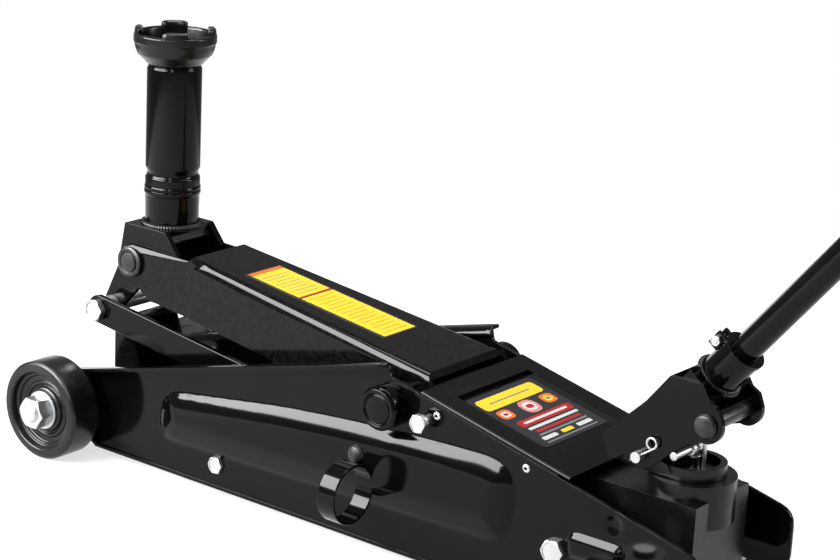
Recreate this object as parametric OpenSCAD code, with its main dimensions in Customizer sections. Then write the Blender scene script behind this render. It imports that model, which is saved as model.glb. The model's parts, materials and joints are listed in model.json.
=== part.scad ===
// Hydraulic trolley jack with a lift-out extension post and a swivelling pump handle.
// X runs from the saddle end to the handle end, Y to the operator's right, Z up.
// The origin is on the floor, in the middle of the whole jack's plan outline.
// The modules count X from the lift post's axis, and jack() moves them to the origin.

/* [Frame] */
// Width across the outer faces of the two side plates
frame_w = 125; // [115:1:160]
// Thickness of a side plate
plate_t = 3; // [2:0.5:4]
// Height of the side plates' bottom edge above the floor
ground_gap = 7; // [4:1:12]
// Length of the frame behind the front axle
frame_l = 611; // [580:1:740]
// Height of the side plates' highest point
apex_z = 152; // [147:1:165]
// Width of the flange along the side plates' front top edge
flange_w = 12; // [6:1:13]
// Depth of the raised panel pressed into a side plate
panel_d = 7; // [3:1:8]

/* [Front wheels] */
// Radius of a front wheel
wheel_r = 41.5; // [32:0.5:46]
// Width of a front wheel
wheel_w = 30; // [20:1:40]
// Radius of the front axle
axle_r = 8; // [6:0.5:10]
// Gap between a side plate and a front wheel, filled by a spacer
wheel_gap = 15; // [14:1:30]

/* [Lift arm] */
// Distance between the lift arm's rear and front pivots
arm_l = 307; // [290:1:330]
// Angle of the lift arm at rest, front end up
arm_angle = 7.5; // [6:0.5:9]
// Depth of the lift arm's channel
arm_depth = 52; // [44:1:54]
// Sheet thickness of the lift arm
arm_t = 4; // [3:0.5:5]
// Radius of the lift arm's pivot shaft
pivot_r = 10; // [8:0.5:11]
// Distance from the pivot shaft to the pin that the ram pushes
ram_lever = 50; // [46:1:52]

/* [Saddle and post] */
// Outer radius of the lift post
post_r = 22.5; // [18:0.5:25]
// Radius of the extension's spigot, which fits the lower post
spigot_r = 20.5; // [15:0.25:21]
// Length of the extension post above its collar
extension_l = 88; // [60:1:110]
// Outer radius of the saddle
saddle_r = 34; // [30:1:40]

/* [Hydraulics] */
// Radius of the ram
ram_r = 12; // [9:0.5:14]
// Outer radius of the oil reservoir
reservoir_r = 31; // [28:0.5:33]
// Radius of the pump plunger
plunger_r = 4.6; // [3.5:0.1:5.5]
// Distance from the lever's fulcrum to the plunger
plunger_arm = 27; // [24:1:29]

/* [Handle] */
// Angle of the handle above the floor at rest
handle_angle = 51; // [40:1:55]
// Outer radius of the handle tubes
tube_r = 10.5; // [9:0.5:12]
// Length of the lower handle tube
lower_tube_l = 372; // [300:1:420]
// Length of the upper handle tube, joint excluded
upper_tube_l = 330; // [280:1:400]
// Outer radius of the rubber grip
grip_r = 17; // [15:0.5:20]

/* [Rear casters] */
// Radius of a caster wheel
caster_r = 22; // [18:0.5:23]
// Distance of a caster's swivel axis from the side plate
caster_out = 37; // [36:1:42]

/* [Small parts] */
// Outer radius of the storage ring for the extension's spigot
ring_r = 23.5; // [23:0.25:25]
// Radial clearance of a turning fit
run_gap = 0.06; // [0.03:0.01:0.1]
// Gap between faces that pass each other
side_gap = 0.5; // [0.3:0.1:1]

/* [Hidden] */
$fn = 48;

// frame
half_w = frame_w / 2;
inner_w = half_w - plate_t;
axle_x = -45;
axle_z = wheel_r;
nose_r = 16;
wheel_face = half_w + wheel_gap + wheel_w;
hub_face = wheel_face - 6;
washer_t = 2;
tail_x = axle_x + frame_l;
apex_x = 288;
flange_x = -38;
flange_z = 69;
apex_step = 8;
flange_t = 3;
flange_slope = atan((apex_z - flange_z) / (apex_x - flange_x));
tail_z = 81;
tail_low_z = 32;
tail_round = 12;
cover_slope = atan((apex_z - apex_step - tail_z) / (tail_x - apex_x));

// cover between the side plates, with its inset panel
cover_from = 318;
cover_to = 454;
cover_t = 2;
cover_in = 13;
cover_l = (cover_to - cover_from) / cos(cover_slope);
cover_start = (cover_from - apex_x - 2) / cos(cover_slope);
screw_at = [cover_start + 19, cover_start + cover_l - 36];
screw_z = -9;
screw_r = 2;
panel_from = cover_start + 17;
panel_l = cover_l - 49;
panel_w = frame_w - 30;
label_in = 7;

// arm and parallelogram
pivot_x = 291;
pivot_z = 122.5;
pin_x = pivot_x - arm_l * cos(arm_angle);
pin_z = pivot_z + arm_l * sin(arm_angle);
link_dx = -25.5;
link_dz = -44.5;
link_x = pivot_x + link_dx;
link_z = pivot_z + link_dz;
arm_front_w = 67;
arm_rear_w = 97;
arm_tail = 22;
skin_from = 65;
lever_angle = 25;
ram_pin_x = pivot_x + ram_lever * sin(lever_angle);
ram_pin_z = pivot_z - ram_lever * cos(lever_angle);
ram_pin_r = 6;
link_y = 41;
link_t = 5;
link_h = 24;

// carrier, post and saddle
carrier_half = arm_front_w / 2 - arm_t - side_gap;
carrier_top = 193;
carrier_t = 5;
carrier_pin_r = 8;
link_bolt_r = 6;
link_end_x = pin_x + link_dx;
link_end_z = pin_z + link_dz;
post_to = 223;
collar_h = 11;
shoulder_h = 5;
saddle_stem_r = 15;
saddle_stem = 34;
saddle_z = post_to + collar_h + shoulder_h + extension_l + side_gap;
dish_z = 11;
rim_z = 25;
lug_top = 30;

// hydraulics
ram_z = ram_pin_z - 2;
cylinder_r = 21;
cylinder_bore = ram_r + 4;
cylinder_front_x = 366;
block_x = 434;
block_l = 108;
block_h = 66;
piston_l = 8;
piston_at = cylinder_front_x + 49;
swivel_x = 516;
block_top = 113;
rear_bolt_x = 446;
rear_bolt_z = 51;
front_bolt_x = 117;
front_bolt_z = 27;
stop_x = pivot_x + 35;
stop_z = pivot_z - 3.5;
turn_z = 122.5;
turn_r = 24;
fulcrum_x = swivel_x - plunger_arm;
fulcrum_z = 126;
roller_z = fulcrum_z + 6;
roller_r = 5;
roller_gap = 0.5;
plunger_top = roller_z - roller_r - roller_gap;
sleeve_r = 10;
sleeve_z = 101.5;
sleeve_h = 7;
rod_x_off = 8;
rod_r = 1.5;
barrel_z = 58;
plunger_low = 78;
cheek_y = 25;
cheek_t = 4;
pin_y = cheek_y + cheek_t + 3;
pin_wire = 1;
pin_tilt = 55;
lug_x = 540;
lug_z = 161;

// handle: a point on its axis, and distances along it
handle_x = 508;
handle_z = 161;
socket_from = 30;
socket_to = 66;
socket_r = 15;
joint_l = 40;
joint_r = 8;
tube_from = socket_from + 8;
joint_at = tube_from + lower_tube_l;
handle_end = joint_at + upper_tube_l;
grip_l = 120;
grip_end = handle_end + 5;

// casters
caster_x = 500;
caster_y = half_w + caster_out;
caster_trail = 11;
bracket_z = 2 * caster_r + 8;
bracket_t = 4;
caster_w = 18;
fork_gap = 1;

// fasteners
axle_head = 13;
ear_t = 2;
ring_z = 55;
m8_r = 4;
bolt_af = 13;

axle_end = hub_face + side_gap + washer_t + axle_head + 1.5;
front_end = axle_x - wheel_r;
rear_end = handle_x + grip_end * cos(handle_angle) + grip_r * sin(handle_angle);
x_shift = -(front_end + rear_end) / 2;

black = [0.06, 0.06, 0.065];
zinc = [0.78, 0.79, 0.8];
steel = [0.5, 0.5, 0.52];

module jack() {
    translate([x_shift, 0, 0]) children();
}

// Puts a child drawn at Y = 0, pointing outwards along -Y, on both sides.
module both_sides() {
    children();
    mirror([0, 1, 0]) children();
}

// A cylinder along Y from y1 to y2.
module rod_y(x, z, r, y1, y2) {
    translate([x, y2, z]) rotate([90, 0, 0]) cylinder(h = y2 - y1, r = r);
}

// A cylinder along X from x1 to x2.
module rod_x(y, z, r, x1, x2) {
    translate([x1, y, z]) rotate([0, 90, 0]) cylinder(h = x2 - x1, r = r);
}

// A hexagonal bar along Y from y1 to y2.
module hex_y(x, z, af, y1, y2) {
    translate([x, y2, z]) rotate([90, 0, 0])
        cylinder(h = y2 - y1, r = af / sqrt(3), $fn = 6);
}

// An outline in X and Z, extruded from y1 to y2.
module plate_y(y1, y2) {
    translate([0, y2, 0]) rotate([90, 0, 0]) linear_extrude(y2 - y1) children();
}

// Local Z runs up along the handle from the point where its axis starts.
module on_handle() {
    translate([handle_x, 0, handle_z]) rotate([0, 90 - handle_angle, 0]) children();
}

// Local -X runs forwards along the lift arm from its pivot.
module on_arm() {
    translate([pivot_x, 0, pivot_z]) rotate([0, arm_angle, 0]) children();
}

// ---- frame ----

module side_outline() {
    polygon([
        [flange_x + 3, ground_gap], [tail_x - 130, ground_gap], [tail_x - 90, tail_low_z],
        [tail_x, tail_low_z], [tail_x, tail_z - tail_round],
        [tail_x - tail_round, tail_z + tail_round * tan(cover_slope)],
        [apex_x + 2, apex_z - apex_step], [apex_x, apex_z], [flange_x, flange_z]]);
    translate([axle_x, axle_z]) circle(nose_r);
    translate([tail_x - tail_round, tail_z - tail_round]) circle(tail_round);
}

module panel_outline() {
    polygon([
        [58, 40], [66, 36], [396, 48], [403, 54], [406, 92], [400, 100], [388, 102],
        [308, 99], [247, 95], [184, 88], [66, 71], [58, 66], [55, 55]]);
}

module side_plate() {
    difference() {
        union() {
            plate_y(-half_w, -half_w + plate_t) side_outline();
            plate_y(-half_w - panel_d, -half_w) panel_outline();
            intersection() {
                translate([flange_x, -half_w - flange_w, flange_z])
                    rotate([0, -flange_slope, 0]) translate([-20, 0, -flange_t])
                        cube([frame_l, flange_w + plate_t, flange_t]);
                plate_y(-half_w - flange_w, -inner_w)
                    translate([flange_x, 0]) square([apex_x - flange_x, 2 * apex_z]);
            }
            translate([axle_x + nose_r, -half_w - 4, ground_gap])
                cube([tail_x - 150 - axle_x, 4.5, plate_t]);
            plate_y(-half_w - 4, -half_w)
                polygon([[458, 62], [462, 57], [494, 57], [500, 62], [496, 66], [461, 66]]);
        }
        // the pressing is hollow behind its raised panel
        plate_y(-half_w - panel_d + plate_t, -half_w + plate_t + 1)
            translate([230, 69]) scale(0.965) translate([-230, -69]) panel_outline();
        rod_y(axle_x, axle_z, axle_r + run_gap, -half_w - 1, -inner_w + 1);
        rod_y(pivot_x, pivot_z, pivot_r + run_gap, -half_w - panel_d - 1, -inner_w + 1);
        rod_y(link_x, link_z, m8_r + run_gap, -half_w - panel_d - 1, -inner_w + 1);
        rod_y(front_bolt_x, front_bolt_z, m8_r + run_gap, -half_w - panel_d - 1, -inner_w + 1);
        rod_y(rear_bolt_x, rear_bolt_z, 5 + run_gap, -half_w - panel_d - 1, -inner_w + 1);
        rod_y(stop_x, stop_z, m8_r + run_gap, -half_w - panel_d - 1, -inner_w + 1);
        for (x = [caster_x - 14, caster_x + 14])
            rod_y(x, bracket_z - 11, 3 + run_gap, -half_w - 1, -inner_w + 1);
    }
}

module side_plate_left() {
    color(black) jack() side_plate();
}

module side_plate_right() {
    color(black) jack() mirror([0, 1, 0]) side_plate();
}

module front_axle() {
    color(steel) jack() rod_y(axle_x, axle_z, axle_r, -axle_end, axle_end);
}

module axle_spacers() {
    color(black) jack() both_sides() difference() {
        rod_y(axle_x, axle_z, axle_r + 4, -half_w - wheel_gap + side_gap, -half_w);
        rod_y(axle_x, axle_z, axle_r + run_gap, -half_w - wheel_gap, -half_w + 1);
    }
}

module axle_washers() {
    color(zinc) jack() both_sides() difference() {
        rod_y(axle_x, axle_z, axle_r + 8, -hub_face - side_gap - washer_t, -hub_face - side_gap);
        rod_y(axle_x, axle_z, axle_r + run_gap, -hub_face - 3, -hub_face);
    }
}

module axle_nuts() {
    color(zinc) jack() both_sides() difference() {
        nut_y = -hub_face - side_gap - washer_t;
        hex_y(axle_x, axle_z, 2 * axle_r + 8, nut_y - axle_head, nut_y);
        rod_y(axle_x, axle_z, axle_r + run_gap, -hub_face - 30, -hub_face);
    }
}

// A stepped disc with a rolled tread; local Z runs outwards.
module wheel(r, w, bore, hub) {
    rotate_extrude($fn = 72) polygon([
        [bore, 0], [hub + 4, 0], [hub + 5, 3], [r - 9, 3], [r - 8, 0], [r - 2, 0], [r, 2],
        [r, w - 3], [r - 1, w - 1], [r - 3, w], [r - 9, w], [r - 10, w - 5], [r - 15, w - 7],
        [r - 16, w - 9], [hub + 5, w - 9], [hub + 4, w - 6], [bore, w - 6]]);
}

module front_wheel_left() {
    color([0.09, 0.09, 0.095]) jack()
        translate([axle_x, -half_w - wheel_gap, axle_z]) rotate([90, 0, 0])
            wheel(wheel_r, wheel_w, axle_r + run_gap, axle_r + 4);
}

module front_wheel_right() {
    color([0.09, 0.09, 0.095]) jack()
        translate([axle_x, half_w + wheel_gap, axle_z]) rotate([-90, 0, 0])
            wheel(wheel_r, wheel_w, axle_r + run_gap, axle_r + 4);
}

// Folded cross plate between the side plates, with the stop that the arm comes down on.
module front_rest() {
    color(black) jack() {
        rest_top = link_end_z - 10 - side_gap;
        translate([-36, -inner_w, 28]) cube([60, 2 * inner_w, 4]);
        translate([-36, -carrier_half, 30]) cube([4, 2 * carrier_half, rest_top - 30]);
        translate([-36, -carrier_half, rest_top - 4]) cube([16, 2 * carrier_half, 4]);
        for (y = [-carrier_half, carrier_half - 4]) plate_y(y, y + 4)
            polygon([[-34, 31], [10, 31], [-20, rest_top - 1], [-34, rest_top - 1]]);
    }
}

module front_tie_tube() {
    color(steel) jack() difference() {
        rod_y(front_bolt_x, front_bolt_z, m8_r + 4, -inner_w, inner_w);
        rod_y(front_bolt_x, front_bolt_z, m8_r + run_gap, -half_w, half_w);
    }
}

// A bolt through both side plates: its head stands off the left one by reach, its nut
// off the right one by nut_off.
module bolt_across(x, z, r, af, reach, nut_off = 0) {
    nut_y = half_w + nut_off;
    rod_y(x, z, r, -half_w - reach, nut_y + 9);
    hex_y(x, z, af, -half_w - reach - 6, -half_w - reach);
    hex_y(x, z, af, nut_y, nut_y + 7);
}

module front_tie_bolt() {
    color(zinc) jack() bolt_across(front_bolt_x, front_bolt_z, m8_r, bolt_af, 0);
}

module rear_tie_bolt() {
    color(zinc) jack() {
        bolt_across(rear_bolt_x, rear_bolt_z, 5, 17, 2);
        both_sides() rod_y(rear_bolt_x, rear_bolt_z, 11, -half_w - 2, -half_w);
    }
}

// Cross bolt behind the arm's tail, with its head standing off the left plate.
module stop_bolt() {
    color(zinc) jack() bolt_across(stop_x, stop_z, m8_r, bolt_af, 10, cover_t);
}

module pivot_shaft() {
    color(steel) jack() rod_y(pivot_x, pivot_z, pivot_r, -half_w - 16, half_w + 16);
}

// Turned caps on both ends of the pivot shaft.
module pivot_hubs() {
    color(black) jack() both_sides() difference() {
        translate([pivot_x, -half_w, pivot_z]) rotate([90, 0, 0]) rotate_extrude()
            polygon([[0, 0], [17, 0], [17, 18], [15.5, 20], [11, 20], [10, 18.5], [0, 18.5]]);
        rod_y(pivot_x, pivot_z, pivot_r, -half_w - 16, -half_w + 1);
    }
}

// Shoulder bolts that carry the lower links' rear ends, with their spacing bushes.
// The left bolt's head clamps the storage ring's ear, and the right one's a washer.
module link_bolts_rear() {
    head_y = -half_w - panel_d - ear_t;
    color([0.2, 0.2, 0.21]) jack() {
        both_sides() {
            rod_y(link_x, link_z, m8_r, head_y, -link_y + 1);
            rod_y(link_x, link_z, 8, -inner_w, -link_y - link_t - side_gap);
            rod_y(link_x, link_z, 8, -link_y + side_gap, -link_y + 4);
            translate([link_x, head_y, link_z]) rotate([90, 0, 0]) rotate_extrude()
                polygon([[0, 0], [7.5, 0], [7.5, 1.5], [6, 3.5], [3, 4.6], [0, 5]]);
        }
        difference() {
            rod_y(link_x, link_z, 8, half_w + panel_d, half_w + panel_d + ear_t);
            rod_y(link_x, link_z, m8_r, half_w, half_w + 20);
        }
    }
}

module on_cover() {
    translate([apex_x + 2, 0, apex_z - apex_step]) rotate([0, cover_slope, 0]) children();
}

module cover_plate() {
    color(black) jack() difference() {
        on_cover() difference() {
            union() {
                translate([cover_start, -half_w - cover_t, 0])
                    cube([cover_l, frame_w + 2 * cover_t, cover_t]);
                both_sides() translate([cover_start + 8, -half_w - cover_t, -cover_in])
                    cube([cover_l - 18, cover_t, cover_in + 1]);
                translate([panel_from, -panel_w / 2, -3]) cube([panel_l, panel_w, 4]);
            }
            translate([panel_from + 2, -panel_w / 2 + 2, -1]) cube([panel_l - 4, panel_w - 4, 4]);
            for (x = screw_at) rod_y(x, screw_z, screw_r, -half_w - 3, half_w + 3);
        }
        rod_y(stop_x, stop_z, m8_r + side_gap, -half_w - 3, half_w + 3);
    }
}

module cover_screws() {
    color(zinc) jack() on_cover() both_sides() for (x = screw_at) {
        rod_y(x, screw_z, 3.5, -half_w - cover_t - 2, -half_w - cover_t);
        rod_y(x, screw_z, screw_r, -half_w - cover_t, -half_w);
    }
}

module cover_label() {
    label_l = panel_l - 2 * label_in;
    label_w = panel_w - 2 * label_in;
    color([0.9, 0.8, 0.25]) jack() on_cover()
        translate([panel_from + label_in, -label_w / 2, -1]) cube([label_l, label_w, 0.3]);
}

// A band that holds the extension post's spigot beside the frame.
module storage_ring() {
    face_y = -half_w - panel_d;
    color(black) jack() difference() {
        union() {
            rod_x(face_y - ring_r, ring_z, ring_r, link_x, link_x + 16);
            translate([link_x - 9, face_y - ear_t, ring_z]) cube([24, ear_t, link_z - ring_z + 9]);
        }
        rod_x(face_y - ring_r, ring_z, ring_r - 2, link_x - 1, link_x + 17);
        rod_y(link_x, link_z, m8_r, face_y - ear_t - 1, face_y + 1);
    }
}

module caster_brackets() {
    color(black) jack() both_sides() difference() {
        union() {
            translate([caster_x - 22, -caster_y, bracket_z])
                cube([44, caster_y - half_w, bracket_t]);
            translate([caster_x, -caster_y, bracket_z]) cylinder(h = bracket_t, r = 16);
            translate([caster_x - 22, -half_w - bracket_t, bracket_z - 20])
                cube([44, bracket_t, 22]);
        }
        translate([caster_x, -caster_y, bracket_z - 1]) cylinder(h = 9, r = 5 + run_gap);
        for (x = [caster_x - 14, caster_x + 14])
            rod_y(x, bracket_z - 11, 3 + run_gap, -half_w - 5, -inner_w + 1);
    }
}

module bracket_bolts() {
    color(zinc) jack() both_sides() for (x = [caster_x - 14, caster_x + 14]) {
        rod_y(x, bracket_z - 11, 3, -half_w - bracket_t, -inner_w + 3);
        hex_y(x, bracket_z - 11, 10, -half_w - bracket_t - 3, -half_w - bracket_t);
        hex_y(x, bracket_z - 11, 10, -inner_w, -inner_w + 3);
    }
}

// Swivelling fork with its stem; local origin at the swivel axis on the floor.
module caster_fork() {
    top = bracket_z - side_gap;
    half_fork = caster_w / 2 + fork_gap;
    translate([0, 0, top - 3]) cylinder(h = 3, r = 14);
    translate([0, 0, top - 1]) cylinder(h = bracket_t + 4, r = 5);
    translate([0, 0, bracket_z + bracket_t + side_gap]) cylinder(h = 2.5, r = 8);
    for (s = [-1, 1]) translate([0, s * (half_fork + 1), 0]) plate_y(-1, 1)
        polygon([[-12, top - 2], [14, top - 2], [caster_trail + 6, caster_r - 3],
            [caster_trail, caster_r - 6], [caster_trail - 6, caster_r - 3]]);
    rod_y(caster_trail, caster_r, 3, -half_fork - 3, half_fork + 3);
}

module caster_wheel() {
    difference() {
        translate([caster_trail, 0, caster_r]) rotate([90, 0, 0]) rotate_extrude($fn = 60)
            polygon([
                [0, -caster_w / 2], [7, -caster_w / 2], [8, -caster_w / 2 + 2],
                [caster_r - 6, -caster_w / 2 + 2], [caster_r - 5, -caster_w / 2],
                [caster_r - 1.5, -caster_w / 2], [caster_r, -caster_w / 2 + 1.5],
                [caster_r, caster_w / 2 - 1.5], [caster_r - 1.5, caster_w / 2],
                [caster_r - 5, caster_w / 2], [caster_r - 6, caster_w / 2 - 2],
                [8, caster_w / 2 - 2], [7, caster_w / 2], [0, caster_w / 2]]);
        rod_y(caster_trail, caster_r, 3 + run_gap, -caster_w, caster_w);
    }
}

module caster_fork_left() {
    color(zinc) jack() translate([caster_x, -caster_y, 0]) caster_fork();
}

module caster_fork_right() {
    color(zinc) jack() translate([caster_x, caster_y, 0]) caster_fork();
}

module caster_wheel_left() {
    color(black) jack() translate([caster_x, -caster_y, 0]) caster_wheel();
}

module caster_wheel_right() {
    color(black) jack() translate([caster_x, caster_y, 0]) caster_wheel();
}

// ---- lift arm ----

// The arm's plan outline, in the arm's own frame.
module arm_plan(trim) {
    polygon([
        [-arm_l - 16, -arm_front_w / 2 + trim], [-arm_l + skin_from, -arm_front_w / 2 + trim],
        [arm_tail, -arm_rear_w / 2 + trim], [arm_tail, arm_rear_w / 2 - trim],
        [-arm_l + skin_from, arm_front_w / 2 - trim], [-arm_l - 16, arm_front_w / 2 - trim]]);
}

// The arm seen from the side: rounded ends about both pivots.
module arm_side() {
    polygon([
        [-arm_l, -14], [-arm_l + 24, -arm_depth / 2], [0, -arm_depth / 2 + 4], [16, -14], [20, 0],
        [arm_tail, arm_depth / 2 - 7], [arm_tail - 8, arm_depth / 2],
        [-arm_l + skin_from, arm_depth / 2], [-arm_l + skin_from - 4, arm_depth / 2 - 5],
        [-arm_l - 2, 16], [-arm_l - 13, 8], [-arm_l - 14, -4], [-arm_l - 8, -12]]);
}

module lift_arm() {
    color(black) jack() on_arm() difference() {
        intersection() {
            plate_y(-arm_rear_w / 2, arm_rear_w / 2) arm_side();
            translate([0, 0, -arm_depth]) linear_extrude(2 * arm_depth) arm_plan(0);
        }
        translate([0, 0, -arm_depth]) linear_extrude(1.5 * arm_depth - arm_t) arm_plan(arm_t);
        // the top skin stops short of the carrier
        translate([-arm_l - 30, -arm_front_w / 2 + arm_t, -arm_depth])
            cube([30 + skin_from, arm_front_w - 2 * arm_t, 2 * arm_depth]);
        rod_y(0, 0, pivot_r + 5 + run_gap, -arm_rear_w, arm_rear_w);
        rod_y(-arm_l, 0, carrier_pin_r + run_gap, -arm_front_w, arm_front_w);
    }
}

// Tube on the pivot shaft with the twin cheeks that the ram pushes, welded into the arm.
module arm_lever() {
    color(black) jack() difference() {
        union() {
            rod_y(pivot_x, pivot_z, pivot_r + 5, -inner_w + side_gap, inner_w - side_gap);
            both_sides() plate_y(-34, -26) polygon([
                [pivot_x - 13, pivot_z - 4], [ram_pin_x - 11, ram_pin_z - 4], [ram_pin_x - 6, ram_pin_z - 10],
                [ram_pin_x + 6, ram_pin_z - 10], [ram_pin_x + 11, ram_pin_z], [pivot_x + 14, pivot_z]]);
        }
        rod_y(pivot_x, pivot_z, pivot_r + run_gap, -half_w, half_w);
        rod_y(ram_pin_x, ram_pin_z, ram_pin_r, -40, 40);
    }
}

module ram_pin() {
    color(steel) jack() rod_y(ram_pin_x, ram_pin_z, ram_pin_r, -36, 36);
}

module arm_label() {
    color([0.92, 0.78, 0.2]) jack() on_arm()
        translate([-arm_l + 113, -21, arm_depth / 2]) cube([147, 42, 0.3]);
}

// ---- carrier, links and post ----

// Folded bracket with the post on top; its cheeks hang inside the arm's.
module saddle_carrier() {
    color(black) jack() difference() {
        union() {
            translate([-26, -carrier_half, carrier_top - carrier_t])
                cube([46, 2 * carrier_half, carrier_t]);
            both_sides() plate_y(-carrier_half, -carrier_half + carrier_t) polygon([
                [-26, carrier_top], [20, carrier_top], [34, carrier_top - 17], [30, pin_z - 2],
                [pin_x + 14, pin_z - 12], [link_end_x + 13, link_end_z + 4],
                [link_end_x + 8, link_end_z - 10], [link_end_x - 8, link_end_z - 10],
                [link_end_x - 12, link_end_z], [pin_x - 20, pin_z - 8]]);
            translate([pin_x - 20, -carrier_half, pin_z - 30]) cube([4, 2 * carrier_half, 20]);
        }
        rod_y(pin_x, pin_z, carrier_pin_r, -50, 50);
        rod_y(link_end_x, link_end_z, link_bolt_r, -50, 50);
    }
}

module carrier_pin() {
    color(steel) jack() {
        rod_y(pin_x, pin_z, carrier_pin_r, -arm_front_w / 2 - 5, arm_front_w / 2 + 5);
        both_sides() rod_y(pin_x, pin_z, 13, -arm_front_w / 2 - 4, -arm_front_w / 2 - side_gap);
    }
}

module link_bolts_front() {
    color(zinc) jack() {
        rod_y(link_end_x, link_end_z, link_bolt_r, -link_y - link_t - 1, link_y + link_t + 1);
        both_sides() {
            hex_y(link_end_x, link_end_z, 17, -link_y - link_t - 7, -link_y - link_t - side_gap);
            rod_y(link_end_x, link_end_z, 9, -link_y + side_gap, -carrier_half);
        }
    }
}

module lower_link() {
    color(black) jack() difference() {
        translate([link_x, 0, link_z]) rotate([0, arm_angle, 0])
            plate_y(-link_y - link_t, -link_y) {
                translate([-arm_l, -link_h / 2]) square([arm_l, link_h]);
                circle(link_h / 2);
                translate([-arm_l, 0]) circle(link_h / 2);
            }
        rod_y(link_x, link_z, m8_r + run_gap, -50, -30);
        rod_y(link_end_x, link_end_z, link_bolt_r + run_gap, -50, -30);
    }
}

module lower_link_left() {
    lower_link();
}

module lower_link_right() {
    mirror([0, 1, 0]) lower_link();
}

module lower_post() {
    color(black) jack() difference() {
        union() {
            translate([0, 0, carrier_top]) cylinder(h = post_to - carrier_top, r = post_r);
            translate([0, 0, post_to - 4]) cylinder(h = 4, r = post_r + 0.8);
        }
        translate([0, 0, 150]) cylinder(h = 100, r = spigot_r + run_gap);
    }
}

module extension_post() {
    color(black) jack() {
        post_from = post_to + collar_h + shoulder_h;
        difference() {
            union() {
                translate([0, 0, post_to - 26]) cylinder(h = collar_h + 49, r = spigot_r);
                translate([0, 0, post_to + 0.1]) cylinder(h = collar_h, r = post_r + 0.8);
                translate([0, 0, post_from]) cylinder(h = extension_l, r = post_r);
            }
            translate([0, 0, post_from + extension_l - saddle_stem]) cylinder(h = 60, r = saddle_stem_r + run_gap);
            translate([0, 0, post_to - 30]) cylinder(h = 40, r = spigot_r - 5);
        }
    }
}

module saddle() {
    color(black) jack() translate([0, 0, saddle_z]) difference() {
        union() {
            translate([0, 0, 4 - saddle_stem]) cylinder(h = saddle_stem, r = saddle_stem_r);
            rotate_extrude($fn = 72) polygon([
                [0, 0], [post_r, 0], [post_r + 3, 3], [saddle_r - 2, 10], [saddle_r, rim_z],
                [saddle_r - 4, rim_z], [saddle_r - 8, dish_z], [0, dish_z]]);
            intersection() {
                rotate_extrude($fn = 72) polygon([
                    [saddle_r - 8, 10], [saddle_r - 1.2, 10], [saddle_r, rim_z],
                    [saddle_r - 0.5, lug_top], [saddle_r - 7, lug_top]]);
                for (a = [45:90:315]) rotate(a) translate([0, -11, 0]) cube([50, 22, 40]);
            }
        }
        for (a = [0, 90]) rotate(a) translate([-2, 9 - saddle_r, dish_z - 1.5]) cube([4, 2 * (saddle_r - 9), 12]);
    }
}

// ---- hydraulics ----

module pump_block() {
    color([0.1, 0.1, 0.11]) jack() difference() {
        union() {
            translate([block_x, -36, 36]) cube([block_l, 72, block_h]);
            rod_x(0, ram_z, reservoir_r + 2, block_x - 4, block_x + 8);
            translate([swivel_x, 0, 80]) cylinder(h = block_top - 80, r = 32);
            rod_y(rear_bolt_x, rear_bolt_z, 12, -inner_w, inner_w);
        }
        rod_y(rear_bolt_x, rear_bolt_z, 5 + run_gap, -half_w, half_w);
        translate([swivel_x, 0, barrel_z]) cylinder(h = 80, r = plunger_r + run_gap);
        translate([swivel_x, 0, sleeve_z - 3.5]) cylinder(h = 20, r = sleeve_r + run_gap);
        translate([swivel_x, 0, block_top - 4 - side_gap]) cylinder(h = 20, r = turn_r - 6);
    }
}

module reservoir() {
    color(black) jack() difference() {
        rod_x(0, ram_z, reservoir_r, cylinder_front_x + 8, block_x - 4);
        rod_x(0, ram_z, reservoir_r - 2, cylinder_front_x + 10, block_x);
        rod_x(0, ram_z, cylinder_r, cylinder_front_x, block_x);
        translate([410, 0, ram_z]) cylinder(h = 50, r = 4.5);
    }
}

module ram_cylinder() {
    color(steel) jack() difference() {
        rod_x(0, ram_z, cylinder_r, cylinder_front_x, block_x - 4);
        rod_x(0, ram_z, cylinder_bore, cylinder_front_x - 1, block_x - 10);
    }
}

module gland_nut() {
    color(steel) jack() difference() {
        union() {
            translate([cylinder_front_x - 8, 0, ram_z]) rotate([0, 90, 0])
                cylinder(h = 8, r = cylinder_r + 2, $fn = 8);
            rod_x(0, ram_z, cylinder_bore, cylinder_front_x - 8, cylinder_front_x + 6);
        }
        rod_x(0, ram_z, ram_r + run_gap, cylinder_front_x - 9, cylinder_front_x + 8);
    }
}

// The ram, its piston, and the slotted head that pushes the arm's cross pin.
module ram() {
    color([0.8, 0.8, 0.82]) jack() difference() {
        union() {
            rod_x(0, ram_z, ram_r, ram_pin_x + 12, piston_at + piston_l);
            rod_x(0, ram_z, cylinder_bore - run_gap, piston_at, piston_at + piston_l);
            translate([ram_pin_x - 12, -22, ram_z - 16]) cube([28, 44, 32]);
        }
        slot_r = ram_pin_r + side_gap;
        for (z = [ram_z - 4, ram_z + 3]) rod_y(ram_pin_x, z, slot_r, -30, 30);
        translate([ram_pin_x - slot_r, -30, ram_z - 4]) cube([2 * slot_r, 60, 7]);
    }
}

module filler_plug() {
    color([0.15, 0.15, 0.15]) jack() {
        translate([410, 0, ram_z + reservoir_r - 6]) cylinder(h = 7, r = 4.4);
        translate([410, 0, ram_z + reservoir_r]) cylinder(h = 3, r = 7);
    }
}

// Sliding collar round the plunger, which the release rod presses on.
module release_sleeve() {
    color(steel) jack() translate([swivel_x, 0, sleeve_z]) difference() {
        cylinder(h = sleeve_h, r = sleeve_r);
        translate([0, 0, -1]) cylinder(h = sleeve_h + 2, r = plunger_r + side_gap);
    }
}

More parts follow.
